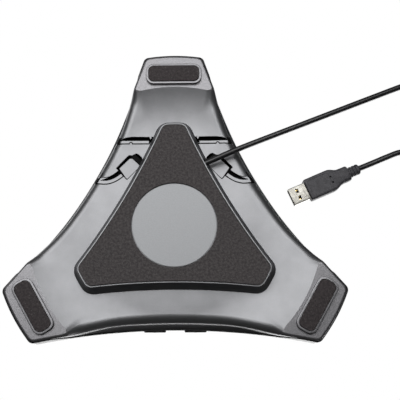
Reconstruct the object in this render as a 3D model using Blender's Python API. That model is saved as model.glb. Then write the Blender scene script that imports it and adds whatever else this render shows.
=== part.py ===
"""Conference speakerphone with three arms, standing on its base pad and three feet.

+X points to the right arm's side, +Y to the back arm and +Z up, and the table is z = 0. The three arms are
alike, so most shapes are drawn once about the device's own upright axis and turned by 120 degrees.
Lengths are in millimetres until they become vertices.
"""

import math

import bmesh
import bpy
from mathutils import Matrix, Vector

MM = 0.001

# The device's upright axis, which is in front of the middle of its bounding box.
AXIS_Y = -22.88

# Plan of the body at the seam between the two casings.
END_RADIUS = 125.2
SIDE_MIDDLE = 70.0
SIDE_RADIUS = 470.0
CORNER_RADIUS = 4.6
ARM_ANGLES = {"back": 90.0, "left": 210.0, "right": 330.0}

# Heights of the underside: flat arm ends, and the arch between them.
PLATEAU_Z = 3.0
PLATEAU_INNER_RADIUS = 100.5
ARCH_RISE = 8.0
ARCH_FLAT_RADIUS = 60.0
SEAM_HIGH = 29.0
SEAM_LOW = 17.0
SEAM_GAP = 0.75
WALL = 2.2

# Top surface.
DOME_Z = 51.0
DOME_DROP = 24.0
DOME_RADIUS = 118.0
DOME_POWER = 1.7

# Base cover, pads and label.
COVER_SIDE_IN = 30.4
COVER_END_RADIUS = 72.5
COVER_CORNER = 6.0
COVER_FLARE = 3.0
COVER_WALL = 1.7
CHAMBER_Z = 3.3
RIM_Z = 0.6
RECESS_Z = 1.7
PAD_TOP_Z = 1.4
RIM_WIDTH = 1.2
LABEL_RADIUS = 28.9
LABEL_HOLE_RADIUS = 29.3
FOOT_RADIUS = 109.6
FOOT_SIZE = (36.0, 11.6)
FOOT_RIM = 1.4
FOOT_GAP = 0.3

# Channels and pockets of the underside, which leave a floor this high.
CHANNEL_Z = 15.4
CHANNEL_WIDTH = 5.4
CHANNEL_Y = 63.17
POCKET_Z = 16.4
POCKET_SIZE = (17.5, 11.8)
POCKET_MOUTH = (37.4, 38.8)
POCKET_ANGLE = 134.0
GROOVE_POINTS = ((34.0, 43.0), (38.5, 37.8), (44.5, 34.0), (51.0, 32.6), (62.0, 34.0))

# Speaker.
GRILLE_RADIUS = 44.6
RING_RADII = (45.0, 48.4)
SPEAKER_Z = 41.2
CONE_RADIUS = 35.5

# Keys: middle of each on the top, and its size.
KEY_RADIUS = 55.6
KEY_SIZE = (15.0, 8.0)
KEY_STEP_DEG = 20.0
KEY_CLEARANCE = 0.5
KEY_FLANGE_Z = (38.2, 39.7)
EDGE_KEY_X = 14.3
EDGE_KEY_SIZE = (15.4, 3.0)
EDGE_KEY_Z = 32.3

# Arm fittings, as distances from the axis.
SCREW_RADIUS = 109.6
MIC_RADIUS = 97.0
LIGHT_RADIUS = 83.0
COVER_SCREW_RADIUS = 50.0
FITTING_PROUD = 0.15
BOOT_TOP = 29.5

# Cord and plug, with the route's points in plan from the device's axis, and their heights.
CORD_DIAMETER = 4.0
CORD_EXIT = (-13.2, 41.6, 7.0)
ROUTE_OUT = (
    CORD_EXIT,
    (-17.6, 43.3, 7.0),
    (-22.2, 45.1, 6.7),
    (-30.0, 48.1, 5.3),
    (-38.5, 51.4, 3.6),
    (-48.0, 55.0, 2.4),
    (-67.2, 62.4, 2.1),
    (-90.0, 71.2, 2.1),
    (-113.0, 80.1, 2.1),
    (-136.0, 89.0, 2.1),
    (-160.0, 98.2, 2.1),
    (-174.0, 102.9, 2.15),
)
COIL_CENTRE = (-201.0, 79.2)
COIL_INNER = 16.0
COIL_OUTER = 33.6
COIL_HEIGHTS = (0.9, 17.3)
ROUTE_BACK = (
    (-183.0, 48.2, 2.2),
    (-176.0, 49.4, 2.15),
    (-168.0, 50.6, 2.1),
    (-156.8, 50.2, 2.15),
    (-148.0, 47.2, 2.5),
    (-140.0, 44.0, 3.3),
    (-133.0, 41.2, 3.9),
    (-128.2, 39.3, 4.0),
)
PLUG_FRONT = (-91.6, 23.6)
PLUG_HEIGHT = 4.05
SHELL_SIZE = (12.0, 4.5, 11.9)
GRIP_LENGTH = 31.5

# The shallow cuts of these objects leave open slivers under the EXACT solver.
SLIVERED = ("bottom_casing", "top_casing")

COLOURS = {
    "casing_grey": ((0.36, 0.36, 0.38), 0.42, 0.35),
    "top_black": ((0.03, 0.03, 0.033), 0.5, 0.0),
    "pad_brown": ((0.055, 0.05, 0.052), 0.9, 0.0),
    "rubber": ((0.035, 0.033, 0.034), 0.8, 0.0),
    "label": ((0.36, 0.37, 0.39), 0.5, 0.0),
    "steel": ((0.6, 0.6, 0.6), 0.3, 1.0),
    "cord_black": ((0.02, 0.02, 0.022), 0.35, 0.0),
    "board_green": ((0.02, 0.12, 0.05), 0.5, 0.0),
    "clear": ((0.7, 0.8, 0.9), 0.2, 0.0),
    "paper": ((0.05, 0.05, 0.055), 0.8, 0.0),
}


def clear_scene():
    for obj in list(bpy.data.objects):
        bpy.data.objects.remove(obj)


def material(name):
    found = bpy.data.materials.get(name)
    if found:
        return found
    colour, roughness, metallic = COLOURS[name]
    made = bpy.data.materials.new(name)
    made.use_nodes = True
    shader = made.node_tree.nodes["Principled BSDF"]
    shader.inputs["Base Color"].default_value = (*colour, 1.0)
    shader.inputs["Roughness"].default_value = roughness
    shader.inputs["Metallic"].default_value = metallic
    return made


# ---------------------------------------------------------------- mesh helpers


def finish_object(name, bm, finish, device, smooth=True):
    """A parented object made from a bmesh in millimetres."""
    bmesh.ops.scale(bm, vec=Vector((MM, MM, MM)), verts=bm.verts)
    bmesh.ops.recalc_face_normals(bm, faces=bm.faces)
    if bm.calc_volume(signed=True) < 0:
        bmesh.ops.reverse_faces(bm, faces=bm.faces)
    mesh = bpy.data.meshes.new(name)
    bm.to_mesh(mesh)
    bm.free()
    obj = bpy.data.objects.new(name, mesh)
    bpy.context.scene.collection.objects.link(obj)
    obj.parent = device
    if finish:
        mesh.materials.append(material(finish))
    if smooth:
        mesh.shade_smooth()
        mesh.set_sharp_from_angle(angle=math.radians(35))
    return obj


def loft(loops, centre_first=None, centre_last=None):
    """A closed bmesh through rings with the same number of points; each end is closed by a fan or a face."""
    bm = bmesh.new()
    rings = [[bm.verts.new(point) for point in loop] for loop in loops]
    count = len(rings[0])
    for lower, upper in zip(rings, rings[1:]):
        for i in range(count):
            j = (i + 1) % count
            bm.faces.new((lower[i], lower[j], upper[j], upper[i]))
    for ring, centre in ((rings[0], centre_first), (rings[-1], centre_last)):
        if centre is None:
            bm.faces.new(ring)
            continue
        middle = bm.verts.new(centre)
        for i in range(count):
            bm.faces.new((ring[i], ring[(i + 1) % count], middle))
    return bm


def prism(outline, low, high):
    """An upright solid on an outline; low and high are heights or functions of the point."""
    heights = [level if callable(level) else (lambda x, y, z=level: z) for level in (low, high)]
    return loft([[(x, y, height(x, y)) for x, y in outline] for height in heights])


def turned(profile, segments=32):
    """A solid of revolution about Z from its half section, listed from the axis round to the axis."""
    bm = bmesh.new()
    rings = []
    for radius, z in profile:
        if radius < 1e-6:
            rings.append([bm.verts.new((0, 0, z))])
            continue
        angles = [2 * math.pi * i / segments for i in range(segments)]
        rings.append([bm.verts.new((radius * math.cos(a), radius * math.sin(a), z)) for a in angles])
    closed = len(rings[0]) > 1
    pairs = list(zip(rings, rings[1:])) + ([(rings[-1], rings[0])] if closed else [])
    for first, second in pairs:
        for i in range(segments):
            j = (i + 1) % segments
            lower = [first[i % len(first)], first[j % len(first)]]
            upper = [second[j % len(second)], second[i % len(second)]]
            face = list(dict.fromkeys(lower + upper))
            if len(face) > 2:
                bm.faces.new(face)
    return bm


def rounded_rectangle(length, width, radius, steps=4):
    """Outline centred on the origin, with its length along X."""
    outline = []
    corners = ((1, 1), (-1, 1), (-1, -1), (1, -1))
    for quarter, (sx, sy) in enumerate(corners):
        cx = sx * (length / 2 - radius)
        cy = sy * (width / 2 - radius)
        for i in range(steps + 1):
            angle = math.pi / 2 * (quarter + i / steps)
            outline.append((cx + radius * math.cos(angle), cy + radius * math.sin(angle)))
    return outline


def circle(radius, segments=24):
    return [
        (radius * math.cos(2 * math.pi * i / segments), radius * math.sin(2 * math.pi * i / segments))
        for i in range(segments)
    ]


def placed(outline, x, y, degrees=0.0):
    """The outline turned about its own origin and moved."""
    c = math.cos(math.radians(degrees))
    s = math.sin(math.radians(degrees))
    return [(x + c * px - s * py, y + s * px + c * py) for px, py in outline]


def on_arm(outline, distance, angle):
    """The outline on an arm, with its length across the arm."""
    turn = math.radians(angle)
    return placed(outline, distance * math.cos(turn), distance * math.sin(turn), angle - 90)


def polar(radius, angle):
    turn = math.radians(angle)
    return Vector((radius * math.cos(turn), radius * math.sin(turn)))


def smoothstep(low, high, value):
    t = min(max((value - low) / (high - low), 0.0), 1.0)
    return t * t * (3 - 2 * t)


def mix(first, second, share):
    return first + (second - first) * share


def combine(target, bm, operation, device):
    """Adds or cuts a helper solid with a Boolean modifier that stays on the target."""
    number = len(target.modifiers)
    helper = finish_object(f"{target.name}_{operation.lower()}_{number}", bm, None, device, smooth=False)
    helper.hide_render = True
    helper.display_type = "WIRE"
    modifier = target.modifiers.new(f"{operation.title()} {number}", "BOOLEAN")
    modifier.operation = operation
    modifier.solver = "MANIFOLD" if target.name.startswith(SLIVERED) else "EXACT"
    modifier.object = helper
    return helper


# ---------------------------------------------------------------- plan and height rules


def half_arm(side_in, end_radius, corner, side_steps, corner_steps, end_steps):
    """Points with inward normals from the middle of the right side (30 degrees) to the back arm's axis."""
    side_centre = polar(SIDE_MIDDLE + SIDE_RADIUS, 30)
    side_radius = SIDE_RADIUS + side_in
    to_corner = end_radius - corner
    from_side = side_radius + corner
    reach = side_centre.length
    spread = math.acos((to_corner**2 + reach**2 - from_side**2) / (2 * to_corner * reach))
    corner_angle = math.radians(30) + spread
    corner_centre = Vector((math.cos(corner_angle), math.sin(corner_angle))) * to_corner
    points = []
    first = math.radians(210)
    towards = corner_centre - side_centre
    last = math.atan2(towards.y, towards.x) % (2 * math.pi)
    for i in range(side_steps):
        angle = mix(first, last, i / side_steps)
        normal = Vector((math.cos(angle), math.sin(angle)))
        points.append((side_centre + normal * side_radius, normal))
    begin = math.atan2(-towards.y, -towards.x)
    for i in range(corner_steps):
        angle = mix(begin, corner_angle, i / corner_steps)
        outward = Vector((math.cos(angle), math.sin(angle)))
        points.append((corner_centre + outward * corner, -outward))
    for i in range(end_steps + 1):
        angle = mix(corner_angle, math.radians(90), i / end_steps)
        outward = Vector((math.cos(angle), math.sin(angle)))
        points.append((outward * end_radius, -outward))
    return points


def plan(side_in=0.0, end_radius=END_RADIUS, corner=CORNER_RADIUS, steps=(6, 3, 2)):
    """The whole three-armed outline, as points with inward normals."""
    half = half_arm(side_in, end_radius, corner, *steps)
    mirrored = [(Vector((-p.x, p.y)), Vector((-n.x, n.y))) for p, n in half[-2:0:-1]]
    arm = half + mirrored
    whole = []
    for turn in range(3):
        spin = Matrix.Rotation(math.radians(120 * turn), 2)
        whole += [(spin @ p, spin @ n) for p, n in arm]
    return whole


def outline_of(rows, inset=0.0):
    return [tuple(p + n * inset) for p, n in rows]


def seam_z(x, y):
    return mix(SEAM_HIGH, SEAM_LOW, smoothstep(66, 112, math.hypot(x, y)))


def arch_z(x, y):
    """Height of the underside above the table."""
    radius = min(max(math.hypot(x, y), ARCH_FLAT_RADIUS), PLATEAU_INNER_RADIUS)
    share = (radius - ARCH_FLAT_RADIUS) / (PLATEAU_INNER_RADIUS - ARCH_FLAT_RADIUS)
    return PLATEAU_Z + ARCH_RISE * (1 - share * share)


def dome_z(x, y):
    return DOME_Z - DOME_DROP * (math.hypot(x, y) / DOME_RADIUS) ** DOME_POWER


def tuck(radius):
    """How far the lower wall stands in from the seam."""
    return mix(4.0, 0.8, smoothstep(78, 106, radius))


def lower_rounding(radius):
    """Radius of the edge between the lower wall and the underside."""
    return mix(6.3, 2.0, smoothstep(PLATEAU_INNER_RADIUS - 2, PLATEAU_INNER_RADIUS + 4, radius))


def ring_at(rows, inset_of, z_of):
    """One ring, offset inwards by a rule of the point's distance from the axis."""
    ring = []
    for point, normal in rows:
        moved = point + normal * inset_of(point.length)
        ring.append((moved.x, moved.y, z_of(moved.x, moved.y, point.length)))
    return ring


def towards_axis(edge_ring, shares, z_of, crease=None):
    """Rings between an edge ring and the axis; those on the crease keep its radius wherever they can."""
    rings = []
    radii = [math.hypot(x, y) for x, y, _ in edge_ring]
    inner = [min(crease, r - 1.5) if crease else r for r in radii]
    scales = []
    if crease:
        scales += [[mix(r, i, share) / r for r, i in zip(radii, inner)] for share in (0.5, 1.0)]
    scales += [[share * i / r for r, i in zip(radii, inner)] for share in shares]
    for scale in scales:
        ring = [(x * s, y * s) for (x, y, _), s in zip(edge_ring, scale)]
        rings.append([(x, y, z_of(x, y)) for x, y in ring])
    return rings


QUARTER = [math.radians(angle) for angle in (0, 22, 45, 67, 90)]


def lower_body(thickness, top_z):
    """The lower shell's solid, drawn in from its outer surface by a thickness, up to top_z."""
    rows = plan()

    def radius_of(r):
        return max(lower_rounding(r) - thickness, 0.4)

    rings = []
    if thickness == 0:
        rings.append(ring_at(rows, lambda r: 0.0, lambda x, y, r: top_z(x, y)))
        rings.append(ring_at(rows, lambda r: 0.0, lambda x, y, r: top_z(x, y) - 1.6))
        rings.append(ring_at(rows, lambda r: 0.35 * tuck(r), lambda x, y, r: top_z(x, y) - 2.1))
    else:
        rings.append(ring_at(rows, lambda r: tuck(r) + thickness, lambda x, y, r: top_z(x, y)))
    for angle in QUARTER:
        rings.append(
            ring_at(
                rows,
                lambda r, a=angle: tuck(r) + thickness + radius_of(r) * (1 - math.cos(a)),
                lambda x, y, r, a=angle: arch_z(x, y) + thickness + radius_of(r) * (1 - math.sin(a)),
            )
        )
    shares = (0.92, 0.84, 0.76, 0.66, 0.4)
    rings += towards_axis(rings[-1], shares, lambda x, y: arch_z(x, y) + thickness, PLATEAU_INNER_RADIUS)
    top_rings = towards_axis(rings[0], (0.8, 0.6), top_z)
    return loft(
        top_rings[::-1] + rings,
        (0, 0, top_z(0, 0)),
        (0, 0, arch_z(0, 0) + thickness),
    )


def upper_body(thickness, bottom_z):
    rows = plan()

    def across(r):
        return mix(9.0, 4.2, smoothstep(85, 110, r)) - thickness

    def upright(r):
        return mix(8.5, 6.0, smoothstep(85, 110, r)) - thickness

    rings = [ring_at(rows, lambda r: thickness, lambda x, y, r: bottom_z(x, y))]
    for angle in QUARTER:
        rings.append(
            ring_at(
                rows,
                lambda r, a=angle: thickness + across(r) * (1 - math.cos(a)),
                lambda x, y, r, a=angle: dome_z(x, y) - thickness - upright(r) * (1 - math.sin(a)),
            )
        )
    rings += towards_axis(rings[-1], (0.86, 0.7, 0.5, 0.25), lambda x, y: dome_z(x, y) - thickness)
    bottom_rings = towards_axis(rings[0], (0.8, 0.6), bottom_z)
    return loft(
        bottom_rings[::-1] + rings,
        (0, 0, bottom_z(0, 0)),
        (0, 0, dome_z(0, 0) - thickness),
    )


# ---------------------------------------------------------------- casings


def ribbon(points, width):
    """Outline of a band along a line of points."""
    left = []
    right = []
    for i, point in enumerate(points):
        before = Vector(points[max(i - 1, 0)])
        after = Vector(points[min(i + 1, len(points) - 1)])
        across = (after - before).normalized().orthogonal() * width / 2
        left.append(tuple(Vector(point) + across))
        right.append(tuple(Vector(point) - across))
    return left + right[::-1]


def mirrored_outline(outline):
    return [(-x, y) for x, y in outline[::-1]]


def pocket_outline(side, grow=0.0):
    """Port pocket on one side of the back arm; grow widens it for the wall behind it."""
    length, width = POCKET_SIZE
    outline = rounded_rectangle(length + 2 * grow, width + 2 * grow, 0.8 + grow, 2)
    outline = [(x + length / 2, y) for x, y in outline]
    outline = placed(outline, *POCKET_MOUTH, POCKET_ANGLE)
    return outline if side > 0 else mirrored_outline(outline)


def groove_outline(side, grow=0.0):
    outline = ribbon(GROOVE_POINTS, CHANNEL_WIDTH - 0.4 + 2 * grow)
    return outline if side > 0 else mirrored_outline(outline)


def channel_outline(grow=0.0):
    return placed(rounded_rectangle(112.0, CHANNEL_WIDTH + 2 * grow, 1.0, 2), 0.07, CHANNEL_Y)


def build_bottom_casing(device):
    casing = finish_object("bottom_casing", lower_body(0, seam_z), "casing_grey", device)
    cavity = combine(casing, lower_body(WALL, lambda x, y: seam_z(x, y) + 4), "DIFFERENCE", device)
    back = 1.6
    for side in (1, -1):
        combine(cavity, prism(pocket_outline(side, back), 8, POCKET_Z + back), "DIFFERENCE", device)
        combine(cavity, prism(groove_outline(side, back), 8, CHANNEL_Z + back), "DIFFERENCE", device)
    combine(cavity, prism(channel_outline(back), 8, CHANNEL_Z + back), "DIFFERENCE", device)
    for angle in ARM_ANGLES.values():
        length, width = FOOT_SIZE
        rim = rounded_rectangle(length + 2 * FOOT_RIM + 0.6, width + 2 * FOOT_RIM + 0.6, 5.2)
        combine(casing, prism(on_arm(rim, FOOT_RADIUS, angle), RIM_Z, 4.2), "UNION", device)
        combine(casing, prism(on_arm(circle(5.0, 16), SCREW_RADIUS, angle), 4.0, 13.5), "UNION", device)
        boss = on_arm(circle(4.0, 16), COVER_SCREW_RADIUS, angle)
        combine(casing, prism(boss, 12.0, 18.0), "UNION", device)
    for angle in ARM_ANGLES.values():
        recess = rounded_rectangle(length + 2 * FOOT_GAP, width + 2 * FOOT_GAP, 4.2)
        combine(casing, prism(on_arm(recess, FOOT_RADIUS, angle), -1, RECESS_Z), "DIFFERENCE", device)
        combine(casing, prism(on_arm(circle(3.7, 16), SCREW_RADIUS, angle), 0, 5.0), "DIFFERENCE", device)
        combine(casing, prism(on_arm(circle(1.9, 12), SCREW_RADIUS, angle), 3, 15), "DIFFERENCE", device)
        bore = on_arm(circle(1.6, 12), COVER_SCREW_RADIUS, angle)
        combine(casing, prism(bore, 8, 17), "DIFFERENCE", device)
    for side in (1, -1):
        combine(casing, prism(pocket_outline(side), 0, POCKET_Z), "DIFFERENCE", device)
        combine(casing, prism(groove_outline(side), 0, CHANNEL_Z), "DIFFERENCE", device)
    combine(casing, prism(channel_outline(), 0, CHANNEL_Z), "DIFFERENCE", device)
    return casing


def key_place(step):
    """Middle of a top key, and the way it faces, for -1, 0 or 1 steps from the front."""
    angle = 270 + KEY_STEP_DEG * step
    return (*polar(KEY_RADIUS, angle), angle + 90)


def build_top_casing(device):
    def bottom(x, y):
        return seam_z(x, y) + SEAM_GAP

    casing = finish_object("top_casing", upper_body(0, bottom), "top_black", device)
    combine(casing, upper_body(WALL, lambda x, y: seam_z(x, y) - 4), "DIFFERENCE", device)
    for angle in ARM_ANGLES.values():
        combine(casing, prism(on_arm(circle(4.0, 16), SCREW_RADIUS, angle), 14.0, 27.9), "UNION", device)
    combine(casing, prism(circle(46.0, 48), 30, 60), "DIFFERENCE", device)
    ledge = turned([(45.6, 60), (45.6, dome_z(47, 0) - 1.0), (48.8, dome_z(47, 0) - 1.0), (48.8, 60)], 48)
    combine(casing, ledge, "DIFFERENCE", device)
    for angle in ARM_ANGLES.values():
        combine(casing, prism(on_arm(circle(1.9, 12), SCREW_RADIUS, angle), 12, 21.5), "DIFFERENCE", device)
        mic = rounded_rectangle(14.6, 3.6, 1.7, 2)
        combine(casing, prism(on_arm(mic, MIC_RADIUS, angle), 20, 60), "DIFFERENCE", device)
        light = rounded_rectangle(2.9, 12.6, 1.3, 2)
        combine(casing, prism(on_arm(light, LIGHT_RADIUS, angle), 20, 60), "DIFFERENCE", device)
    for step in (-1, 0, 1):
        x, y, turn = key_place(step)
        hole = rounded_rectangle(KEY_SIZE[0] + 2 * KEY_CLEARANCE, KEY_SIZE[1] + 2 * KEY_CLEARANCE, 3.5)
        combine(casing, prism(placed(hole, x, y, turn), 36, 60), "DIFFERENCE", device)
    for side in (1, -1):
        width, height = EDGE_KEY_SIZE
        slot = placed(rounded_rectangle(width + 0.8, 12.0, 0.5, 1), side * EDGE_KEY_X, -SIDE_MIDDLE)
        low = EDGE_KEY_Z - height / 2 - 0.4
        high = EDGE_KEY_Z + height / 2 + 0.4
        combine(casing, prism(slot, low, high), "DIFFERENCE", device)
    return casing


def build_base(device):
    rows = plan(COVER_SIDE_IN, COVER_END_RADIUS, COVER_CORNER, (4, 3, 1))

    def below_arch(x, y):
        return arch_z(x, y) - 0.35

    def level(inset, z):
        return [(*point, z) for point in outline_of(rows, inset)]

    def under_arch(inset):
        return [(x, y, below_arch(x, y)) for x, y in outline_of(rows, inset)]

    step = RIM_WIDTH - 0.3
    rings = [
        level(step, RECESS_Z), level(step, RIM_Z), level(0, RIM_Z),
        under_arch(-COVER_FLARE), under_arch(COVER_WALL - COVER_FLARE), level(COVER_WALL, CHAMBER_Z),
    ]
    shell = loft(rings, (0, 0, RECESS_Z), (0, 0, CHAMBER_Z))
    cover = finish_object("base_cover", shell, "casing_grey", device)
    for angle in ARM_ANGLES.values():
        post = on_arm(circle(4.0, 16), COVER_SCREW_RADIUS, angle)
        combine(cover, prism(post, CHAMBER_Z - 0.6, arch_z(0, 0) - 0.5), "UNION", device)
    for angle in ARM_ANGLES.values():
        head = on_arm(circle(3.1, 16), COVER_SCREW_RADIUS, angle)
        combine(cover, prism(head, 0, 4.2), "DIFFERENCE", device)
        shank = on_arm(circle(1.6, 12), COVER_SCREW_RADIUS, angle)
        combine(cover, prism(shank, 2, 14), "DIFFERENCE", device)
    notch = placed(rounded_rectangle(14.0, CORD_DIAMETER + 1.0, 0.4, 1), -21.5, 44.8, -21.1)
    combine(cover, prism(notch, 2.4, 14), "DIFFERENCE", device)

    pad = finish_object("base_pad", prism(outline_of(rows, RIM_WIDTH), 0, PAD_TOP_Z), "pad_brown", device)
    combine(pad, prism(circle(LABEL_HOLE_RADIUS, 48), -1, 3), "DIFFERENCE", device)
    finish_object("label_plate", prism(circle(LABEL_RADIUS, 48), 0.8, PAD_TOP_Z), "label", device)


def build_feet(device):
    for name, angle in ARM_ANGLES.items():
        outline = on_arm(rounded_rectangle(*FOOT_SIZE, 4.0), FOOT_RADIUS, angle)
        finish_object(f"foot_pad_{name}", prism(outline, 0, PAD_TOP_Z), "rubber", device)


# ---------------------------------------------------------------- speaker, microphones, boards


def build_speaker(device):
    rim_z = dome_z(47, 0)
    dome = [(GRILLE_RADIUS * i / 4, dome_z(GRILLE_RADIUS * i / 4, 0)) for i in range(5)]
    under = [(r, z - 1.3) for r, z in dome[::-1]]
    finish_object("speaker_grille", turned(dome + under, 40), "steel", device)
    inner, outer = RING_RADII
    ring = [
        (inner, rim_z - 0.7), (outer, rim_z - 0.7), (outer, rim_z + 0.3), (outer - 1.2, rim_z + 0.9),
        (inner, rim_z + 0.9),
    ]
    finish_object("grille_ring", turned(ring, 40), "steel", device)
    top = SPEAKER_Z
    frame = [
        (0, top - 11.0), (23.0, top - 11.0), (40.5, top - 1.6), (48.5, top - 1.6), (48.5, top), (39.5, top),
        (21.5, top - 9.6), (0, top - 9.6),
    ]
    finish_object("speaker_frame", turned(frame), "paper", device)
    magnet = [(0, top - 17.6), (20.0, top - 17.6), (21.0, top - 16.6), (21.0, top - 11.3), (0, top - 11.3)]
    finish_object("speaker_magnet", turned(magnet), "steel", device)
    cone = [
        (0, top - 5.6), (8, top - 6.6), (33, top - 0.9), (CONE_RADIUS, top - 0.9), (CONE_RADIUS, top - 0.3),
        (32.5, top - 0.3), (9, top - 5.4), (0, top - 4.4),
    ]
    finish_object("speaker_cone", turned(cone), "paper", device)
    gasket = [(40.2, top + 0.3), (47.0, top + 0.3), (47.0, top + 1.2), (40.2, top + 1.2)]
    finish_object("speaker_gasket", turned(gasket), "rubber", device)


def build_arm_fittings(device):
    def follows_dome(offset):
        return lambda x, y: dome_z(x, y) + offset

    for name, angle in ARM_ANGLES.items():
        mesh = on_arm(rounded_rectangle(14.0, 3.0, 1.4, 2), MIC_RADIUS, angle)
        strip = prism(mesh, follows_dome(-1.4), follows_dome(FITTING_PROUD))
        finish_object(f"mic_mesh_{name}", strip, "steel", device)
        light = on_arm(rounded_rectangle(2.3, 12.0, 1.1, 2), LIGHT_RADIUS, angle)
        bar = prism(light, follows_dome(-4.0), follows_dome(FITTING_PROUD))
        finish_object(f"status_light_{name}", bar, "clear", device)
        boot = [
            (0, BOOT_TOP - 6.0), (5.0, BOOT_TOP - 6.0), (5.0, BOOT_TOP), (3.5, BOOT_TOP),
            (3.5, BOOT_TOP - 4.2), (0, BOOT_TOP - 4.2),
        ]
        capsule = [(0, BOOT_TOP - 3.9), (3.1, BOOT_TOP - 3.9), (3.1, BOOT_TOP - 0.6), (0, BOOT_TOP - 0.6)]
        middle = polar(MIC_RADIUS, angle).to_3d()
        for kind, profile, finish in (("boot", boot, "rubber"), ("capsule", capsule, "steel")):
            bm = turned(profile, 16)
            bmesh.ops.translate(bm, vec=middle, verts=bm.verts)
            finish_object(f"mic_{kind}_{name}", bm, finish, device)


def build_boards(device):
    board = finish_object("main_board", prism(circle(49.0, 40), 20.2, 21.8), "board_green", device)
    for angle in ARM_ANGLES.values():
        combine(board, prism(on_arm(circle(2.0, 12), 44.0, angle), 10, 30), "DIFFERENCE", device)
    shield = placed(rounded_rectangle(22.0, 16.0, 1.0, 1), 33.0, -18.0)
    finish_object("main_shield", prism(shield, 22.1, 24.6), "steel", device, smooth=False)
    keys = finish_object(
        "key_board",
        prism(placed(rounded_rectangle(54.0, 10.5, 1.0, 1), 0, -56.0), 35.4, 36.8),
        "board_green",
        device,
        smooth=False,
    )
    for step in (-1, 0, 1):
        x, y, _ = key_place(step)
        combine(keys, prism(placed(circle(2.0, 12), x, max(y, -58.0)), 36, 37.1), "UNION", device)


def build_sockets(device):
    """Sockets at the inner ends of the two pockets, each clear of the pocket's walls."""
    length, width = POCKET_SIZE
    for name, side in (("right", 1), ("left", -1)):
        body = rounded_rectangle(3.4, width - 0.8, 0.5, 1)
        body = [(x + length - 2.2, y) for x, y in body]
        body = placed(body, *POCKET_MOUTH, POCKET_ANGLE)
        outline = body if side > 0 else mirrored_outline(body)
        solid = prism(outline, 11.6, POCKET_Z - 0.3)
        socket = finish_object(f"socket_{name}", solid, "rubber", device, smooth=False)
        mouth = rounded_rectangle(3.0, 7.0, 0.3, 1)
        mouth = [(x + length - 3.6, y) for x, y in mouth]
        mouth = placed(mouth, *POCKET_MOUTH, POCKET_ANGLE)
        mouth = mouth if side > 0 else mirrored_outline(mouth)
        combine(socket, prism(mouth, 12.8, 15.0), "DIFFERENCE", device)


# ---------------------------------------------------------------- keys and screws


def build_keys(device):
    for step, name in ((-1, "call_key"), (0, "mute_key"), (1, "end_key")):
        x, y, turn = key_place(step)
        cap = rounded_rectangle(*KEY_SIZE, 3.0)
        flange = rounded_rectangle(KEY_SIZE[0] + 2.2, KEY_SIZE[1] + 1.8, 3.6)
        low, high = KEY_FLANGE_Z
        rings = [
            [(px, py, low) for px, py in placed(flange, x, y, turn)],
            [(px, py, high) for px, py in placed(flange, x, y, turn)],
            [(px, py, high) for px, py in placed(cap, x, y, turn)],
            [(px, py, dome_z(px, py) + 0.9) for px, py in placed(cap, x, y, turn)],
        ]
        finish_object(name, loft(rings), "rubber", device)
    width, height = EDGE_KEY_SIZE
    for side, name in ((-1, "volume_down_key"), (1, "volume_up_key")):
        front = -SIDE_MIDDLE - 1.3
        back = -SIDE_MIDDLE + WALL + 0.3
        sections = (
            (front, width - 1.0, height - 0.8), (front + 0.6, width, height), (back, width, height),
            (back, width + 2.0, height + 1.2), (back + 1.2, width + 2.0, height + 1.2),
        )
        rings = []
        for y, wide, tall in sections:
            outline = rounded_rectangle(wide, tall, min(tall / 2 - 0.1, 1.2), 3)
            rings.append([(px + side * EDGE_KEY_X, y, pz + EDGE_KEY_Z) for px, pz in outline])
        finish_object(name, loft(rings), "rubber", device)


def build_screws(device):
    casing_screw = [(0, 2.0), (3.2, 2.0), (3.2, 4.6), (1.5, 4.6), (1.5, 20.0), (0, 21.0)]
    cover_screw = [(0, 2.0), (2.7, 2.0), (2.7, 3.9), (1.3, 3.9), (1.3, 15.6), (0, 16.4)]
    kinds = (("casing", casing_screw, SCREW_RADIUS), ("cover", cover_screw, COVER_SCREW_RADIUS))
    for kind, profile, distance in kinds:
        for name, angle in ARM_ANGLES.items():
            bm = turned(profile, 12)
            middle = polar(distance, angle).to_3d()
            bmesh.ops.translate(bm, vec=middle, verts=bm.verts)
            finish_object(f"{kind}_screw_{name}", bm, "steel", device)


# ---------------------------------------------------------------- cord and plug


def smooth_line(points, spacing):
    """Points at an even spacing along a Catmull-Rom curve through the route's own points."""
    route = [Vector(p) for p in points]
    fine = []
    for i in range(len(route) - 1):
        before = route[max(i - 1, 0)]
        start = route[i]
        end = route[i + 1]
        after = route[min(i + 2, len(route) - 1)]
        for step in range(20):
            t = step / 20
            fine.append(
                0.5
                * (
                    2 * start
                    + (end - before) * t
                    + (2 * before - 5 * start + 4 * end - after) * t**2
                    + (3 * start - before - 3 * end + after) * t**3
                )
            )
    fine.append(route[-1])
    lengths = [0.0]
    for first, second in zip(fine, fine[1:]):
        lengths.append(lengths[-1] + (second - first).length)
    count = max(int(round(lengths[-1] / spacing)), 2)
    even = []
    at = 0
    for i in range(count + 1):
        wanted = lengths[-1] * i / count
        while at < len(fine) - 2 and lengths[at + 1] < wanted:
            at += 1
        share = (wanted - lengths[at]) / (lengths[at + 1] - lengths[at])
        even.append(fine[at].lerp(fine[at + 1], share))
    return even


def build_tube(name, points, device):
    line = smooth_line(points, CORD_DIAMETER * 2.4)
    curve = bpy.data.curves.new(name, "CURVE")
    curve.dimensions = "3D"
    spline = curve.splines.new("POLY")
    spline.points.add(len(line) - 1)
    for target, point in zip(spline.points, line):
        target.co = (*(point * MM), 1.0)
    curve.bevel_depth = CORD_DIAMETER / 2 * MM
    curve.bevel_resolution = 2
    curve.use_fill_caps = True
    curve.materials.append(material("cord_black"))
    tube = bpy.data.objects.new(name, curve)
    bpy.context.scene.collection.objects.link(tube)
    tube.parent = device
    return tube


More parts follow.
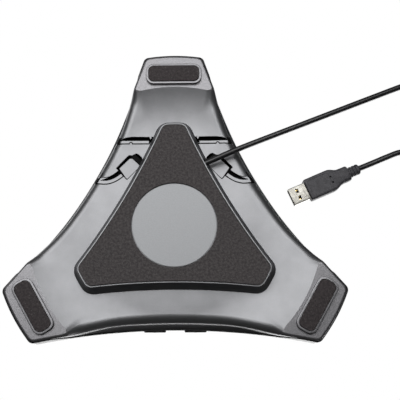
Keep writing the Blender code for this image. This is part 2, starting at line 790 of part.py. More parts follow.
def along(start, end):
    """Frame with its X along start to end, its Y level and its Z up."""
    x = (Vector(end) - Vector(start)).normalized()
    y = Vector((0, 0, 1)).cross(x).normalized()
    z = x.cross(y)
    rows = Matrix((x, y, z)).transposed().to_4x4()
    return Matrix.Translation(start) @ rows


def swept(sections, place):
    """A solid through rounded-rectangle sections (distance, width, height, corner) along a frame's X."""
    rings = []
    for distance, width, height, corner in sections:
        outline = rounded_rectangle(width, height, corner, 3)
        rings.append([tuple(place @ Vector((distance, y, z))) for y, z in outline])
    return loft(rings)


def build_cord(device):
    build_tube("cord_out", ROUTE_OUT, device)
    build_tube("cord_back", ROUTE_BACK, device)
    low, high = COIL_HEIGHTS
    chamfer = 1.5
    section = (
        (COIL_INNER + chamfer, low), (COIL_OUTER - chamfer, low), (COIL_OUTER, low + chamfer),
        (COIL_OUTER, high - chamfer), (COIL_OUTER - chamfer, high), (COIL_INNER + chamfer, high),
        (COIL_INNER, high - chamfer), (COIL_INNER, low + chamfer),
    )
    coil = turned(section, 28)
    bmesh.ops.translate(coil, vec=Vector((*COIL_CENTRE, 0)), verts=coil.verts)
    finish_object("cord_coil", coil, "cord_black", device)

    gap = 0.3
    tie_wall = 0.6
    reach = (COIL_INNER - 0.8, COIL_OUTER + gap)
    length = reach[1] - reach[0]
    height = high - low + 2 * gap
    outer = rounded_rectangle(length + 2 * tie_wall, height + 2 * tie_wall, 1.7, 3)
    inner = rounded_rectangle(length, height, 1.1, 3)
    middle_x = COIL_CENTRE[0] - (reach[0] + reach[1]) / 2
    middle_z = (low + high) / 2
    bm = bmesh.new()
    rings = []
    for outline, y in ((outer, -3.5), (outer, 3.5), (inner, 3.5), (inner, -3.5)):
        rings.append([bm.verts.new((middle_x + px, COIL_CENTRE[1] + y, middle_z + pz)) for px, pz in outline])
    for first, second in zip(rings, rings[1:] + rings[:1]):
        for i in range(len(first)):
            j = (i + 1) % len(first)
            bm.faces.new((first[i], first[j], second[j], second[i]))
    finish_object("cord_tie", bm, "rubber", device)

    gland = [(0.0, 4.4, 4.4, 2.0), (1.2, 5.0, 5.0, 2.2), (4.0, 7.4, 6.0, 2.6), (9.0, 7.4, 6.0, 2.6)]
    exit_point = Vector(CORD_EXIT)
    inward = (exit_point - Vector(ROUTE_OUT[1])).normalized()
    start = exit_point + inward * 0.3
    finish_object("cord_gland", swept(gland, along(start, start + inward)), "rubber", device)


def build_plug(device):
    front = Vector((*PLUG_FRONT, PLUG_HEIGHT))
    tail = Vector(ROUTE_BACK[-1])
    place = along(front, tail)
    grip = GRIP_LENGTH
    relief_end = (tail - front).length - 0.3
    sections = (
        (0.0, 14.6, 7.2, 1.4), (0.7, 15.6, 8.0, 1.8), (17.0, 15.6, 8.0, 2.2), (20.5, 14.0, 7.6, 2.4),
        (23.5, 11.2, 7.4, 2.4), (grip - 1.0, 10.4, 7.2, 2.4), (grip, 9.0, 6.6, 2.4),
        (grip + 0.4, 6.6, 6.2, 2.6), (relief_end - 0.6, 6.2, 6.0, 2.6), (relief_end, 5.4, 5.4, 2.5),
    )
    finish_object("plug_body", swept(sections, place), "cord_black", device)
    width, height, length = SHELL_SIZE
    shell = swept(((-length - 0.3, width, height, 0.5), (-0.3, width, height, 0.5)), place)
    shell_object = finish_object("plug_shell", shell, "steel", device, smooth=False)
    inside = (width - 0.7, height - 0.7, 0.3)
    bore = swept(((-length - 1.3, *inside), (-1.3, *inside)), place)
    combine(shell_object, bore, "DIFFERENCE", device)
    lifted = place @ Matrix.Translation((0, 0, 0.85))
    insert = swept(((-length + 0.2, width - 1.4, 1.7, 0.2), (-1.6, width - 1.4, 1.7, 0.2)), lifted)
    finish_object("plug_insert", insert, "paper", device, smooth=False)


def main():
    clear_scene()
    device = bpy.data.objects.new("device", None)
    bpy.context.scene.collection.objects.link(device)
    device.location = (0, AXIS_Y * MM, 0)
    build_bottom_casing(device)
    build_top_casing(device)
    build_base(device)
    build_feet(device)
    build_speaker(device)
    build_arm_fittings(device)
    build_boards(device)
    build_sockets(device)
    build_keys(device)
    build_screws(device)
    build_cord(device)
    build_plug(device)


main()
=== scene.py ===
"""Looks of the conference speakerphone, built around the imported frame.

Lengths are in millimetres about the device's upright axis until they become vertices, as in the part.
The three arms are alike, so the shells are drawn for half an arm, mirrored and turned.
"""

import math

import bmesh
import bpy
from mathutils import Matrix, Vector


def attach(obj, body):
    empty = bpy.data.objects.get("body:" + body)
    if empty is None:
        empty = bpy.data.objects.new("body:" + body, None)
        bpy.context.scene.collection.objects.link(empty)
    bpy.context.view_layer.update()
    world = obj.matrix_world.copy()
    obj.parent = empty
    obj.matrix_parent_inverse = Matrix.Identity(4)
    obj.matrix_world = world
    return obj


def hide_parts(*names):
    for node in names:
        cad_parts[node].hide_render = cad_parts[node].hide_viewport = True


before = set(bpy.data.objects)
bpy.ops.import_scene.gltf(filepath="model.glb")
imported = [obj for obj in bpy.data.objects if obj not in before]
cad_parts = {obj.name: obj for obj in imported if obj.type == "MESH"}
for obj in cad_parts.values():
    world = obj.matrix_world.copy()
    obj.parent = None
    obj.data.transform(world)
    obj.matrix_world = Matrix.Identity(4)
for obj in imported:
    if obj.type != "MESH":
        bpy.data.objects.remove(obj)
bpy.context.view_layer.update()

MM = 0.001
AXIS_Y = -22.88
ARMS = {"back": 90.0, "left": 210.0, "right": 330.0}


def world_point(x, y, z):
    return Vector((x * MM, (y + AXIS_Y) * MM, z * MM))


# ---------------------------------------------------------------- camera

CAMERA_TILT = math.radians(11.18)
CAMERA_PAN = math.radians(1.01)
CAMERA_ROLL = math.radians(-0.19)
CAMERA_DISTANCE = 466.2
CAMERA_LENS = 61.775
CAMERA_SHIFT = (0.0645, 0.0611)


def build_camera():
    """Looks up at the underside, from a little in front of it."""
    away = Vector((
        -math.sin(CAMERA_PAN) * math.cos(CAMERA_TILT),
        -math.sin(CAMERA_TILT),
        -math.cos(CAMERA_TILT) * math.cos(CAMERA_PAN),
    )).normalized()
    right = Vector((0, 1, 0)).cross(away).normalized()
    up = away.cross(right)
    turned_right = right * math.cos(CAMERA_ROLL) + up * math.sin(CAMERA_ROLL)
    turned_up = up * math.cos(CAMERA_ROLL) - right * math.sin(CAMERA_ROLL)
    data = bpy.data.cameras.new("camera")
    data.sensor_width = 36.0
    data.lens = CAMERA_LENS
    data.shift_x, data.shift_y = CAMERA_SHIFT
    data.clip_start = 0.01
    camera = bpy.data.objects.new("camera", data)
    bpy.context.scene.collection.objects.link(camera)
    axes = Matrix((turned_right, turned_up, away)).transposed().to_4x4()
    camera.matrix_world = Matrix.Translation(world_point(*(away * CAMERA_DISTANCE))) @ axes
    bpy.context.scene.camera = camera


build_camera()

# ---------------------------------------------------------------- cord

CORD_DIAMETER = 4.0
CORD_EXIT = (-13.2, 41.6, 7.0)
ROUTE_OUT = (
    CORD_EXIT,
    (-17.6, 43.3, 7.0),
    (-22.2, 45.1, 6.7),
    (-30.0, 48.1, 5.3),
    (-38.5, 51.4, 3.6),
    (-48.0, 55.0, 2.4),
    (-67.2, 62.4, 2.1),
    (-90.0, 71.2, 2.1),
    (-113.0, 80.1, 2.1),
    (-136.0, 89.0, 2.1),
    (-160.0, 98.2, 2.1),
    (-174.0, 102.9, 2.15),
    (-186.0, 105.4, 2.6),
)
COIL_CENTRE = (-201.0, 79.2)
COIL_START = 81.2
COIL_LAYERS = 4
TURNS_A_LAYER = 2.5
COIL_RADII = (27.5, 18.0)
LAYER_Z = (2.95, 4.05)
LEAVING_RADIUS = 31.55
ROUTE_BACK = (
    (-183.0, 48.2, 2.2),
    (-176.0, 49.4, 2.15),
    (-168.0, 50.6, 2.1),
    (-156.8, 50.2, 2.15),
    (-148.0, 47.2, 2.5),
    (-140.0, 44.0, 3.3),
    (-133.0, 41.2, 3.9),
    (-128.2, 39.3, 4.0),
)


def smoothstep(low, high, value):
    t = min(max((value - low) / (high - low), 0.0), 1.0)
    return t * t * (3 - 2 * t)


def mix(first, second, share):
    return first + (second - first) * share


def coil_points():
    """The tied coil, wound in and out again, a layer at a time, and then down its outside."""
    per_turn = 24
    steps = int(TURNS_A_LAYER * per_turn)
    points = []
    for layer in range(COIL_LAYERS):
        for step in range(steps):
            share = step / steps
            radius = mix(*COIL_RADII, share if layer % 2 == 0 else 1 - share)
            rise = smoothstep(0.86, 1.0, share) if layer < COIL_LAYERS - 1 else 0.0
            angle = math.radians(COIL_START + 360 * TURNS_A_LAYER * (layer + share))
            points.append((radius, angle, LAYER_Z[0] + LAYER_Z[1] * (layer + rise)))
    top = LAYER_Z[0] + LAYER_Z[1] * (COIL_LAYERS - 1)
    leaving = 14
    turned = COIL_START + 360 * TURNS_A_LAYER * COIL_LAYERS
    for step in range(leaving):
        share = step / leaving
        angle = math.radians(turned + (630 - COIL_START - 360) * share)
        radius = mix(COIL_RADII[0], LEAVING_RADIUS, smoothstep(0, 0.4, share))
        points.append((radius, angle, mix(top, 2.3, smoothstep(0.3, 1.0, share))))
    x, y = COIL_CENTRE
    return [(x + r * math.cos(a), y + r * math.sin(a), z) for r, a, z in points]


def catmull_rom(points, steps):
    """Points along a Catmull-Rom curve, in plan or in space."""
    route = [Vector(p) for p in points]
    fine = []
    for i in range(len(route) - 1):
        before = route[max(i - 1, 0)]
        start = route[i]
        end = route[i + 1]
        after = route[min(i + 2, len(route) - 1)]
        for step in range(steps):
            t = step / steps
            bend = 2 * before - 5 * start + 4 * end - after
            twist = 3 * start - before - 3 * end + after
            fine.append(0.5 * (2 * start + (end - before) * t + bend * t**2 + twist * t**3))
    return fine + [route[-1]]


def smooth_line(points, spacing):
    """Points at an even spacing along a smooth curve through the route's own points."""
    fine = catmull_rom(points, 12)
    lengths = [0.0]
    for first, second in zip(fine, fine[1:]):
        lengths.append(lengths[-1] + (second - first).length)
    count = max(int(round(lengths[-1] / spacing)), 2)
    even = []
    at = 0
    for i in range(count + 1):
        wanted = lengths[-1] * i / count
        while at < len(fine) - 2 and lengths[at + 1] < wanted:
            at += 1
        even.append(fine[at].lerp(fine[at + 1], (wanted - lengths[at]) / (lengths[at + 1] - lengths[at])))
    return even


def build_cord():
    """The cord as one tube, and the line that it follows."""
    line = [world_point(*point) for point in smooth_line((*ROUTE_OUT, *coil_points(), *ROUTE_BACK), 2.4)]
    curve = bpy.data.curves.new("cord_line", "CURVE")
    curve.dimensions = "3D"
    spline = curve.splines.new("POLY")
    spline.points.add(len(line) - 1)
    for target, point in zip(spline.points, line):
        target.co = (*point, 1.0)
    curve.bevel_depth = CORD_DIAMETER / 2 * MM
    curve.bevel_resolution = 6
    curve.use_fill_caps = True
    guide = bpy.data.objects.new("cord_line", curve)
    bpy.context.scene.collection.objects.link(guide)
    tube = bpy.data.meshes.new_from_object(guide.evaluated_get(bpy.context.evaluated_depsgraph_get()))
    bpy.data.objects.remove(guide)
    tube.shade_smooth()
    cord = bpy.data.objects.new("cord", tube)
    bpy.context.scene.collection.objects.link(cord)
    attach(cord, "device")
    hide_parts("cord_out", "cord_coil", "cord_back")
    return cord, line


cord, cord_line = build_cord()

# ---------------------------------------------------------------- materials

# The casing's tones and the lights' powers were set together, by comparing renders with the photo.
ROUGH_SPREAD = 0.06
GRAIN_DEPTH = 0.00012
ARM_END_FROM = (0.1000, 0.1010)
SATIN = ((0.196, 0.198, 0.205), (0.232, 0.234, 0.242))
MOULDED = ((0.190, 0.188, 0.196), (0.234, 0.231, 0.241))
SPECK = (0.13, 0.125, 0.12)


def nodes_of(name):
    made = bpy.data.materials.new(name)
    made.use_nodes = True
    tree = made.node_tree
    return made, tree, tree.nodes["Principled BSDF"]


def math_node(tree, operation, first, second=None):
    node = tree.nodes.new("ShaderNodeMath")
    node.operation = operation
    for socket, value in zip(node.inputs, (first, second)):
        if value is None:
            continue
        if isinstance(value, (int, float)):
            socket.default_value = value
        else:
            tree.links.new(value, socket)
    return node.outputs[0]


def noise(tree, scale, detail=3.0, roughness=0.55):
    """Noise in the object's own coordinates; scale is in features to the metre."""
    place = tree.nodes.new("ShaderNodeTexCoord")
    node = tree.nodes.new("ShaderNodeTexNoise")
    node.inputs["Scale"].default_value = scale
    node.inputs["Detail"].default_value = detail
    node.inputs["Roughness"].default_value = roughness
    tree.links.new(place.outputs["Object"], node.inputs["Vector"])
    return node.outputs["Fac"]


def range_of(tree, value, low, high, first, last):
    node = tree.nodes.new("ShaderNodeMapRange")
    node.interpolation_type = "SMOOTHSTEP"
    tree.links.new(value, node.inputs["Value"])
    for name, number in (("From Min", low), ("From Max", high), ("To Min", first), ("To Max", last)):
        node.inputs[name].default_value = number
    return node.outputs["Result"]


def mix_colours(tree, share, first, second):
    node = tree.nodes.new("ShaderNodeMix")
    node.data_type = "RGBA"
    tree.links.new(share, node.inputs["Factor"])
    for socket, colour in ((node.inputs[6], first), (node.inputs[7], second)):
        if isinstance(colour, tuple):
            socket.default_value = (*colour, 1.0)
        else:
            tree.links.new(colour, socket)
    return node.outputs[2]


def bump(tree, height, strength, distance, rounding=0.0):
    """Bump from a height, over normals that are rounded at the edges by a radius in metres."""
    node = tree.nodes.new("ShaderNodeBump")
    node.inputs["Strength"].default_value = strength
    node.inputs["Distance"].default_value = distance
    tree.links.new(height, node.inputs["Height"])
    if rounding:
        edge = tree.nodes.new("ShaderNodeBevel")
        edge.samples = 4
        edge.inputs["Radius"].default_value = rounding
        tree.links.new(edge.outputs["Normal"], node.inputs["Normal"])
    return node.outputs["Normal"]


def surface(
    name, dark, light, roughness, metallic=0.0, mottle=(400.0, 0.35, 0.65), grain=(3000.0, 0.3),
    rounding=0.0003, level=0.5,
):
    """A material whose colour wanders between two, with a fine grain in its bump and its roughness."""
    made, tree, shader = nodes_of(name)
    scale, low, high = mottle
    blotches = range_of(tree, noise(tree, scale), low, high, 0.0, 1.0)
    tree.links.new(mix_colours(tree, blotches, dark, light), shader.inputs["Base Color"])
    fine = noise(tree, grain[0], 2.0)
    spread = range_of(tree, fine, 0.3, 0.7, roughness - ROUGH_SPREAD, roughness + ROUGH_SPREAD)
    tree.links.new(spread, shader.inputs["Roughness"])
    tree.links.new(bump(tree, fine, grain[1], GRAIN_DEPTH, rounding), shader.inputs["Normal"])
    shader.inputs["Metallic"].default_value = metallic
    shader.inputs["Specular IOR Level"].default_value = level
    return made


def casing_paint():
    """Satin metallic paint, with a coarser moulded grain on the flat arm ends."""
    made, tree, shader = nodes_of("casing_paint")
    place = tree.nodes.new("ShaderNodeTexCoord")
    split = tree.nodes.new("ShaderNodeSeparateXYZ")
    tree.links.new(place.outputs["Object"], split.inputs["Vector"])
    from_axis = math_node(tree, "SUBTRACT", split.outputs["Y"], AXIS_Y * MM)
    squares = math_node(
        tree, "ADD", math_node(tree, "MULTIPLY", split.outputs["X"], split.outputs["X"]),
        math_node(tree, "MULTIPLY", from_axis, from_axis),
    )
    radius = math_node(tree, "SQRT", squares)
    arm_end = range_of(tree, radius, *ARM_END_FROM, 0.0, 1.0)
    flakes = noise(tree, 2600.0, 2.0)
    clouds = noise(tree, 60.0, 3.0)
    tone = range_of(tree, math_node(tree, "MULTIPLY", flakes, clouds), 0.12, 0.38, 0.0, 1.0)
    satin = mix_colours(tree, tone, *SATIN)
    grainy = range_of(tree, noise(tree, 1500.0, 2.0), 0.35, 0.65, 0.0, 1.0)
    moulded = mix_colours(tree, grainy, *MOULDED)
    tree.links.new(mix_colours(tree, arm_end, satin, moulded), shader.inputs["Base Color"])
    tree.links.new(range_of(tree, flakes, 0.3, 0.7, 0.34, 0.46), shader.inputs["Roughness"])
    shader.inputs["Metallic"].default_value = 0.88
    height = math_node(tree, "MULTIPLY", grainy, range_of(tree, radius, *ARM_END_FROM, 0.12, 1.0))
    tree.links.new(bump(tree, height, 0.14, 0.00008, 0.0002), shader.inputs["Normal"])
    return made


def pad_sheet(name, dark, light):
    """Pressed non-slip sheet: brown-black, with pale specks."""
    made, tree, shader = nodes_of(name)
    body = range_of(tree, noise(tree, 620.0, 4.0, 0.7), 0.36, 0.66, 0.0, 1.0)
    colour = mix_colours(tree, body, dark, light)
    specks = range_of(tree, noise(tree, 1100.0, 2.0, 0.4), 0.60, 0.72, 0.0, 0.5)
    tree.links.new(mix_colours(tree, specks, colour, SPECK), shader.inputs["Base Color"])
    shader.inputs["Roughness"].default_value = 0.85
    rough = noise(tree, 1100.0, 3.0, 0.6)
    tree.links.new(bump(tree, rough, 0.8, 0.00025, 0.0002), shader.inputs["Normal"])
    return made


MATERIALS = {
    "casing_grey": casing_paint(),
    "pad_brown": pad_sheet("pad_sheet", (0.036, 0.031, 0.032), (0.079, 0.071, 0.071)),
    "foot_brown": pad_sheet("foot_sheet", (0.025, 0.020, 0.021), (0.050, 0.041, 0.042)),
    "socket_black": surface("socket_black", (0.002, 0.002, 0.002), (0.005, 0.005, 0.005), 0.7, level=0.10),
    # Near-black painted shade for the deep faces of the casing's recesses. It is not a colour of the plastic.
    "recess_painted_shade": surface("recess_painted_shade", (0.003, 0.003, 0.003), (0.005, 0.005, 0.005), 0.85, level=0.12),
    "top_black": surface(
        "top_plastic", (0.016, 0.016, 0.018), (0.028, 0.028, 0.030), 0.42,
        grain=(2200.0, 0.35), rounding=0.0004,
    ),
    "rubber": surface(
        "rubber", (0.030, 0.028, 0.029), (0.052, 0.048, 0.049), 0.72, 0.0, (500.0, 0.3, 0.7), (1600.0, 0.5)
    ),
    "label": surface(
        "label_film", (0.330, 0.338, 0.350), (0.372, 0.380, 0.394), 0.45, 0.15,
        (1400.0, 0.3, 0.7), (2600.0, 0.25),
    ),
    "steel": surface(
        "plated_steel", (0.18, 0.174, 0.157), (0.26, 0.254, 0.232), 0.28, 0.9,
        (260.0, 0.3, 0.7), (4000.0, 0.12),
    ),
    "grille": surface(
        "grille_steel", (0.055, 0.056, 0.060), (0.090, 0.092, 0.098), 0.38, 0.6, (300.0, 0.3, 0.7)
    ),
    "cord_black": surface(
        "cord_jacket", (0.008, 0.008, 0.009), (0.016, 0.016, 0.017), 0.34, grain=(1800.0, 0.2), rounding=0.0
    ),
    "grip": surface(
        "plug_grip", (0.040, 0.039, 0.044), (0.062, 0.060, 0.067), 0.58, grain=(1500.0, 0.4), rounding=0.0003
    ),
    "board_green": surface(
        "board", (0.010, 0.080, 0.030), (0.025, 0.140, 0.060), 0.42, 0.0, (900.0, 0.45, 0.55)
    ),
    "clear": surface("light_guide", (0.50, 0.58, 0.62), (0.62, 0.70, 0.74), 0.28, 0.0, (300.0, 0.3, 0.7)),
    "paper": surface(
        "speaker_paper", (0.018, 0.018, 0.020), (0.040, 0.040, 0.043), 0.8, 0.0, (700.0, 0.3, 0.7)
    ),
    "contacts": surface(
        "gold_contacts", (0.72, 0.50, 0.20), (0.85, 0.62, 0.28), 0.25, 1.0, (900.0, 0.3, 0.7)
    ),
    "call_green": surface("call_green", (0.02, 0.30, 0.08), (0.04, 0.42, 0.13), 0.45, grain=(1500.0, 0.2)),
    "end_red": surface("end_red", (0.38, 0.015, 0.012), (0.52, 0.03, 0.025), 0.45, grain=(1500.0, 0.2)),
    "strap": surface(
        "strap", (0.020, 0.020, 0.021), (0.034, 0.034, 0.036), 0.9, 0.0, (800.0, 0.3, 0.7), (1200.0, 0.9)
    ),
    "icon_white": surface("icon_white", (0.55, 0.55, 0.55), (0.68, 0.68, 0.68), 0.5, grain=(1500.0, 0.2)),
}

# ---------------------------------------------------------------- mesh helpers


def mesh_object(name, bm, sharp=18.0):
    """An object from a bmesh in device millimetres, closed and facing out."""
    for vertex in bm.verts:
        vertex.co = world_point(*vertex.co)
    bmesh.ops.recalc_face_normals(bm, faces=bm.faces)
    if bm.calc_volume(signed=True) < 0:
        bmesh.ops.reverse_faces(bm, faces=bm.faces)
    mesh = bpy.data.meshes.new(name)
    bm.to_mesh(mesh)
    bm.free()
    mesh.shade_smooth()
    mesh.set_sharp_from_angle(angle=math.radians(sharp))
    obj = bpy.data.objects.new(name, mesh)
    bpy.context.scene.collection.objects.link(obj)
    return obj


def boolean(target, operation, bm, sharp=18.0):
    """Joins or cuts a helper solid, and keeps only the result."""
    helper = mesh_object("helper", bm)
    modifier = target.modifiers.new("boolean", "BOOLEAN")
    modifier.operation = operation
    modifier.solver = "MANIFOLD"
    modifier.object = helper
    result = bpy.data.meshes.new_from_object(target.evaluated_get(bpy.context.evaluated_depsgraph_get()))
    target.modifiers.remove(modifier)
    target.data = result
    bpy.data.objects.remove(helper)
    result.shade_smooth()
    result.set_sharp_from_angle(angle=math.radians(sharp))


def join(target, other):
    """Unites another object with the target, and removes it."""
    bm = bmesh.new()
    bm.from_mesh(other.data)
    for vertex in bm.verts:
        x, y, z = vertex.co / MM
        vertex.co = (x, y - AXIS_Y, z)
    bpy.data.objects.remove(other)
    boolean(target, "UNION", bm)


def finish_piece(obj, material, body="device", replaced=()):
    """Puts a piece on its body with its material."""
    if obj.data.materials:
        obj.data.materials[0] = MATERIALS[material]
    else:
        obj.data.materials.append(MATERIALS[material])
    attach(obj, body)
    if replaced:
        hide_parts(*replaced)
    return obj


def merged(parts):
    """One bmesh from several separate closed ones."""
    whole = bmesh.new()
    for part in parts:
        mesh = bpy.data.meshes.new("part")
        part.to_mesh(mesh)
        part.free()
        whole.from_mesh(mesh)
        bpy.data.meshes.remove(mesh)
    return whole


def loft(loops, centre_first=None, centre_last=None, closed=False):
    """A closed bmesh through rings with the same number of points; an end is closed by a fan or a face."""
    bm = bmesh.new()
    rings = [[bm.verts.new(point) for point in loop] for loop in loops]
    count = len(rings[0])
    pairs = list(zip(rings, rings[1:])) + ([(rings[-1], rings[0])] if closed else [])
    for lower, upper in pairs:
        for i in range(count):
            j = (i + 1) % count
            bm.faces.new((lower[i], lower[j], upper[j], upper[i]))
    ends = () if closed else ((rings[0], centre_first), (rings[-1], centre_last))
    for ring, centre in ends:
        if centre is None:
            bm.faces.new(ring)
            continue
        middle = bm.verts.new(centre)
        for i in range(count):
            bm.faces.new((ring[i], ring[(i + 1) % count], middle))
    return bm


def prism(outline, low, high):
    """An upright solid on an outline; low and high are heights or functions of the point."""
    heights = [level if callable(level) else (lambda x, y, z=level: z) for level in (low, high)]
    return loft([[(x, y, height(x, y)) for x, y in outline] for height in heights])


def turned(profile, segments=96, middle=(0.0, 0.0)):
    """A ring or disc turned about an upright line from its half section."""
    bm = bmesh.new()
    rings = []
    for radius, z in profile:
        if radius < 1e-6:
            rings.append([bm.verts.new((*middle, z))])
            continue
        angles = [2 * math.pi * i / segments for i in range(segments)]
        places = [(middle[0] + radius * math.cos(a), middle[1] + radius * math.sin(a), z) for a in angles]
        rings.append([bm.verts.new(place) for place in places])
    closed = len(rings[0]) > 1
    for first, second in list(zip(rings, rings[1:])) + ([(rings[-1], rings[0])] if closed else []):
        for i in range(segments):
            j = (i + 1) % segments
            below = (first[i % len(first)], first[j % len(first)])
            above = (second[j % len(second)], second[i % len(second)])
            face = list(dict.fromkeys((*below, *above)))
            if len(face) > 2:
                bm.faces.new(face)
    return bm


def rounded_rectangle(length, width, radius, steps=8):
    outline = []
    for quarter, (sx, sy) in enumerate(((1, 1), (-1, 1), (-1, -1), (1, -1))):
        cx = sx * (length / 2 - radius)
        cy = sy * (width / 2 - radius)
        for i in range(steps + 1):
            angle = math.pi / 2 * (quarter + i / steps)
            outline.append((cx + radius * math.cos(angle), cy + radius * math.sin(angle)))
    return outline


def circle(radius, segments=48):
    turns = [2 * math.pi * i / segments for i in range(segments)]
    return [(radius * math.cos(turn), radius * math.sin(turn)) for turn in turns]


def placed(outline, x, y, degrees=0.0):
    c = math.cos(math.radians(degrees))
    s = math.sin(math.radians(degrees))
    return [(x + c * px - s * py, y + s * px + c * py) for px, py in outline]


def on_arm(outline, distance, angle):
    """The outline on an arm, with its length across the arm."""
    turn = math.radians(angle)
    return placed(outline, distance * math.cos(turn), distance * math.sin(turn), angle - 90)


def shrinking(size, corner, put):
    """outline_at(inset) of a rounded rectangle that is put in its place by a function."""

    def outline_at(inset):
        return put(rounded_rectangle(size[0] - 2 * inset, size[1] - 2 * inset, corner - inset))

    return outline_at


def put_on_arm(distance, angle):
    return lambda outline: on_arm(outline, distance, angle)


def cushion(outline_at, low, high, edge=0.4, steps=4):
    """A slab on outline_at(inset) between two heights, with both edges rounded."""
    rings = []
    for start, way in ((low, 1), (high, -1)):
        half = []
        for i in range(steps + 1):
            angle = math.pi / 2 * i / steps
            half.append((edge * (1 - math.sin(angle)), start + way * edge * (1 - math.cos(angle))))
        rings += half if way > 0 else half[::-1]
    return loft([[(x, y, z) for x, y in outline_at(inset)] for inset, z in rings])


# ---------------------------------------------------------------- plan and height rules

END_RADIUS = 125.2
SIDE_MIDDLE = 70.0
SIDE_RADIUS = 470.0
TOP_CORNER = 4.6
BOTTOM_CORNER = 6.4
PLATEAU_Z = 3.0
PLATEAU_INNER_RADIUS = 100.5
PLATEAU_CORNER_ACROSS = (23.0, 31.5)
PLATEAU_CORNER_OUT = 5.0
ARCH_RISE = 8.0
ARCH_FLAT_RADIUS = 60.0
ARCH_TRUE_RADIUS = 82.0
SEAM_HIGH = 29.0
SEAM_LOW = 17.0
WALL = 2.2
DOME_Z = 51.0
DOME_DROP = 24.0
DOME_RADIUS = 118.0
DOME_POWER = 1.7

# Shares of a side's arc, closest together where the arm end's edge starts.
SIDE_SHARES = tuple(i / 20 for i in range(13)) + tuple(0.63 + 0.0115 * i for i in range(14)) + tuple(
    0.81 + 0.035 * i for i in range(6)
)


def half_arm(side_in, end_radius, corner, shares, corner_steps, end_steps):
    """Points with inward normals from the middle of the right side (30 degrees) to the back arm's axis."""
    sideways = Vector((math.cos(math.radians(30)), math.sin(math.radians(30))))
    side_centre = sideways * (SIDE_MIDDLE + SIDE_RADIUS)
    side_radius = SIDE_RADIUS + side_in
    to_corner = end_radius - corner
    from_side = side_radius + corner
    reach = side_centre.length
    spread = math.acos((to_corner**2 + reach**2 - from_side**2) / (2 * to_corner * reach))
    corner_angle = math.radians(30) + spread
    corner_centre = Vector((math.cos(corner_angle), math.sin(corner_angle))) * to_corner
    towards = corner_centre - side_centre
    last = math.atan2(towards.y, towards.x) % (2 * math.pi)
    points = []
    for share in shares:
        angle = mix(math.radians(210), last, share)
        normal = Vector((math.cos(angle), math.sin(angle)))
        points.append((side_centre + normal * side_radius, normal))
    begin = math.atan2(-towards.y, -towards.x)
    for i in range(corner_steps):
        angle = mix(begin, corner_angle, i / corner_steps)
        outward = Vector((math.cos(angle), math.sin(angle)))
        points.append((corner_centre + outward * corner, -outward))
    for i in range(end_steps + 1):
        angle = mix(corner_angle, math.radians(90), i / end_steps)
        outward = Vector((math.cos(angle), math.sin(angle)))
        points.append((outward * end_radius, -outward))
    return points


def plan(corner, side_in=0.0, end_radius=END_RADIUS, shares=SIDE_SHARES, corner_steps=7, end_steps=6):
    """The whole three-armed outline, as points with inward normals."""
    half = half_arm(side_in, end_radius, corner, shares, corner_steps, end_steps)
    arm = half + [(Vector((-p.x, p.y)), Vector((-n.x, n.y))) for p, n in half[-2:0:-1]]
    whole = []
    for turn in range(3):
        spin = Matrix.Rotation(math.radians(120 * turn), 2)
        whole += [(spin @ p, spin @ n) for p, n in arm]
    return whole


def outline_of(rows, inset=0.0):
    return [tuple(p + n * inset) for p, n in rows]


def seam_z(x, y):
    return mix(SEAM_HIGH, SEAM_LOW, smoothstep(66, 112, math.hypot(x, y)))


def crease_radius(x, y):
    """Inner edge of the flat arm ends, which turns outwards near the arm's sides."""
    off_axis = (math.degrees(math.atan2(y, x)) - 30) % 120 - 60
    across = PLATEAU_INNER_RADIUS * math.sin(math.radians(abs(off_axis)))
    return PLATEAU_INNER_RADIUS + PLATEAU_CORNER_OUT * smoothstep(*PLATEAU_CORNER_ACROSS, across)


def arch_z(x, y):
    """Height of the underside above the table."""
    inner_edge = crease_radius(x, y)
    radius = min(max(math.hypot(x, y), ARCH_FLAT_RADIUS), inner_edge)
    radius -= (inner_edge - PLATEAU_INNER_RADIUS) * smoothstep(ARCH_TRUE_RADIUS, inner_edge, radius)
    share = (radius - ARCH_FLAT_RADIUS) / (PLATEAU_INNER_RADIUS - ARCH_FLAT_RADIUS)
    return PLATEAU_Z + ARCH_RISE * (1 - share * share)


def dome_z(x, y):
    return DOME_Z - DOME_DROP * (math.hypot(x, y) / DOME_RADIUS) ** DOME_POWER


def tuck(radius):
    """How far the lower wall stands in from the seam."""
    return mix(4.0, 0.8, smoothstep(78, 106, radius))


def lower_rounding(radius):
    return mix(6.3, 2.0, smoothstep(PLATEAU_INNER_RADIUS - 4, PLATEAU_INNER_RADIUS + 6, radius))


def ring_at(rows, inset_of, z_of):
    """One ring, offset inwards by a rule of the point's distance from the axis."""
    ring = []
    for point, normal in rows:
        moved = point + normal * inset_of(point.length)
        ring.append((moved.x, moved.y, z_of(moved.x, moved.y, point.length)))
    return ring


def inwards(edge_ring, shares, z_of):
    """Rings at shares of an edge ring's distance from the axis."""
    rings = []
    for share in shares:
        rings.append([(x * share, y * share, z_of(x * share, y * share)) for x, y, _ in edge_ring])
    return rings


def under_rings(edge_ring, shares, z_of):
    """Rings from the edge of the underside to the axis; one of them lies on the arm ends' inner edges."""
    radii = [math.hypot(x, y) for x, y, _ in edge_ring]
    creases = [min(crease_radius(x, y), r - 0.3) for (x, y, _), r in zip(edge_ring, radii)]
    on_crease = [(x * c / r, y * c / r, 0) for (x, y, _), c, r in zip(edge_ring, creases, radii)]
    rings = []
    for part in (0.33, 0.66, 1.0):
        blend = [(mix(x, cx, part), mix(y, cy, part)) for (x, y, _), (cx, cy, _) in zip(edge_ring, on_crease)]
        rings.append([(x, y, z_of(x, y)) for x, y in blend])
    return rings + inwards(on_crease, shares, z_of)


QUARTER = [math.radians(90 * i / 8) for i in range(9)]
ARCH_SHARES = tuple(0.98 - 0.02 * i for i in range(21)) + (0.5, 0.38, 0.22)


# ---------------------------------------------------------------- outline helpers


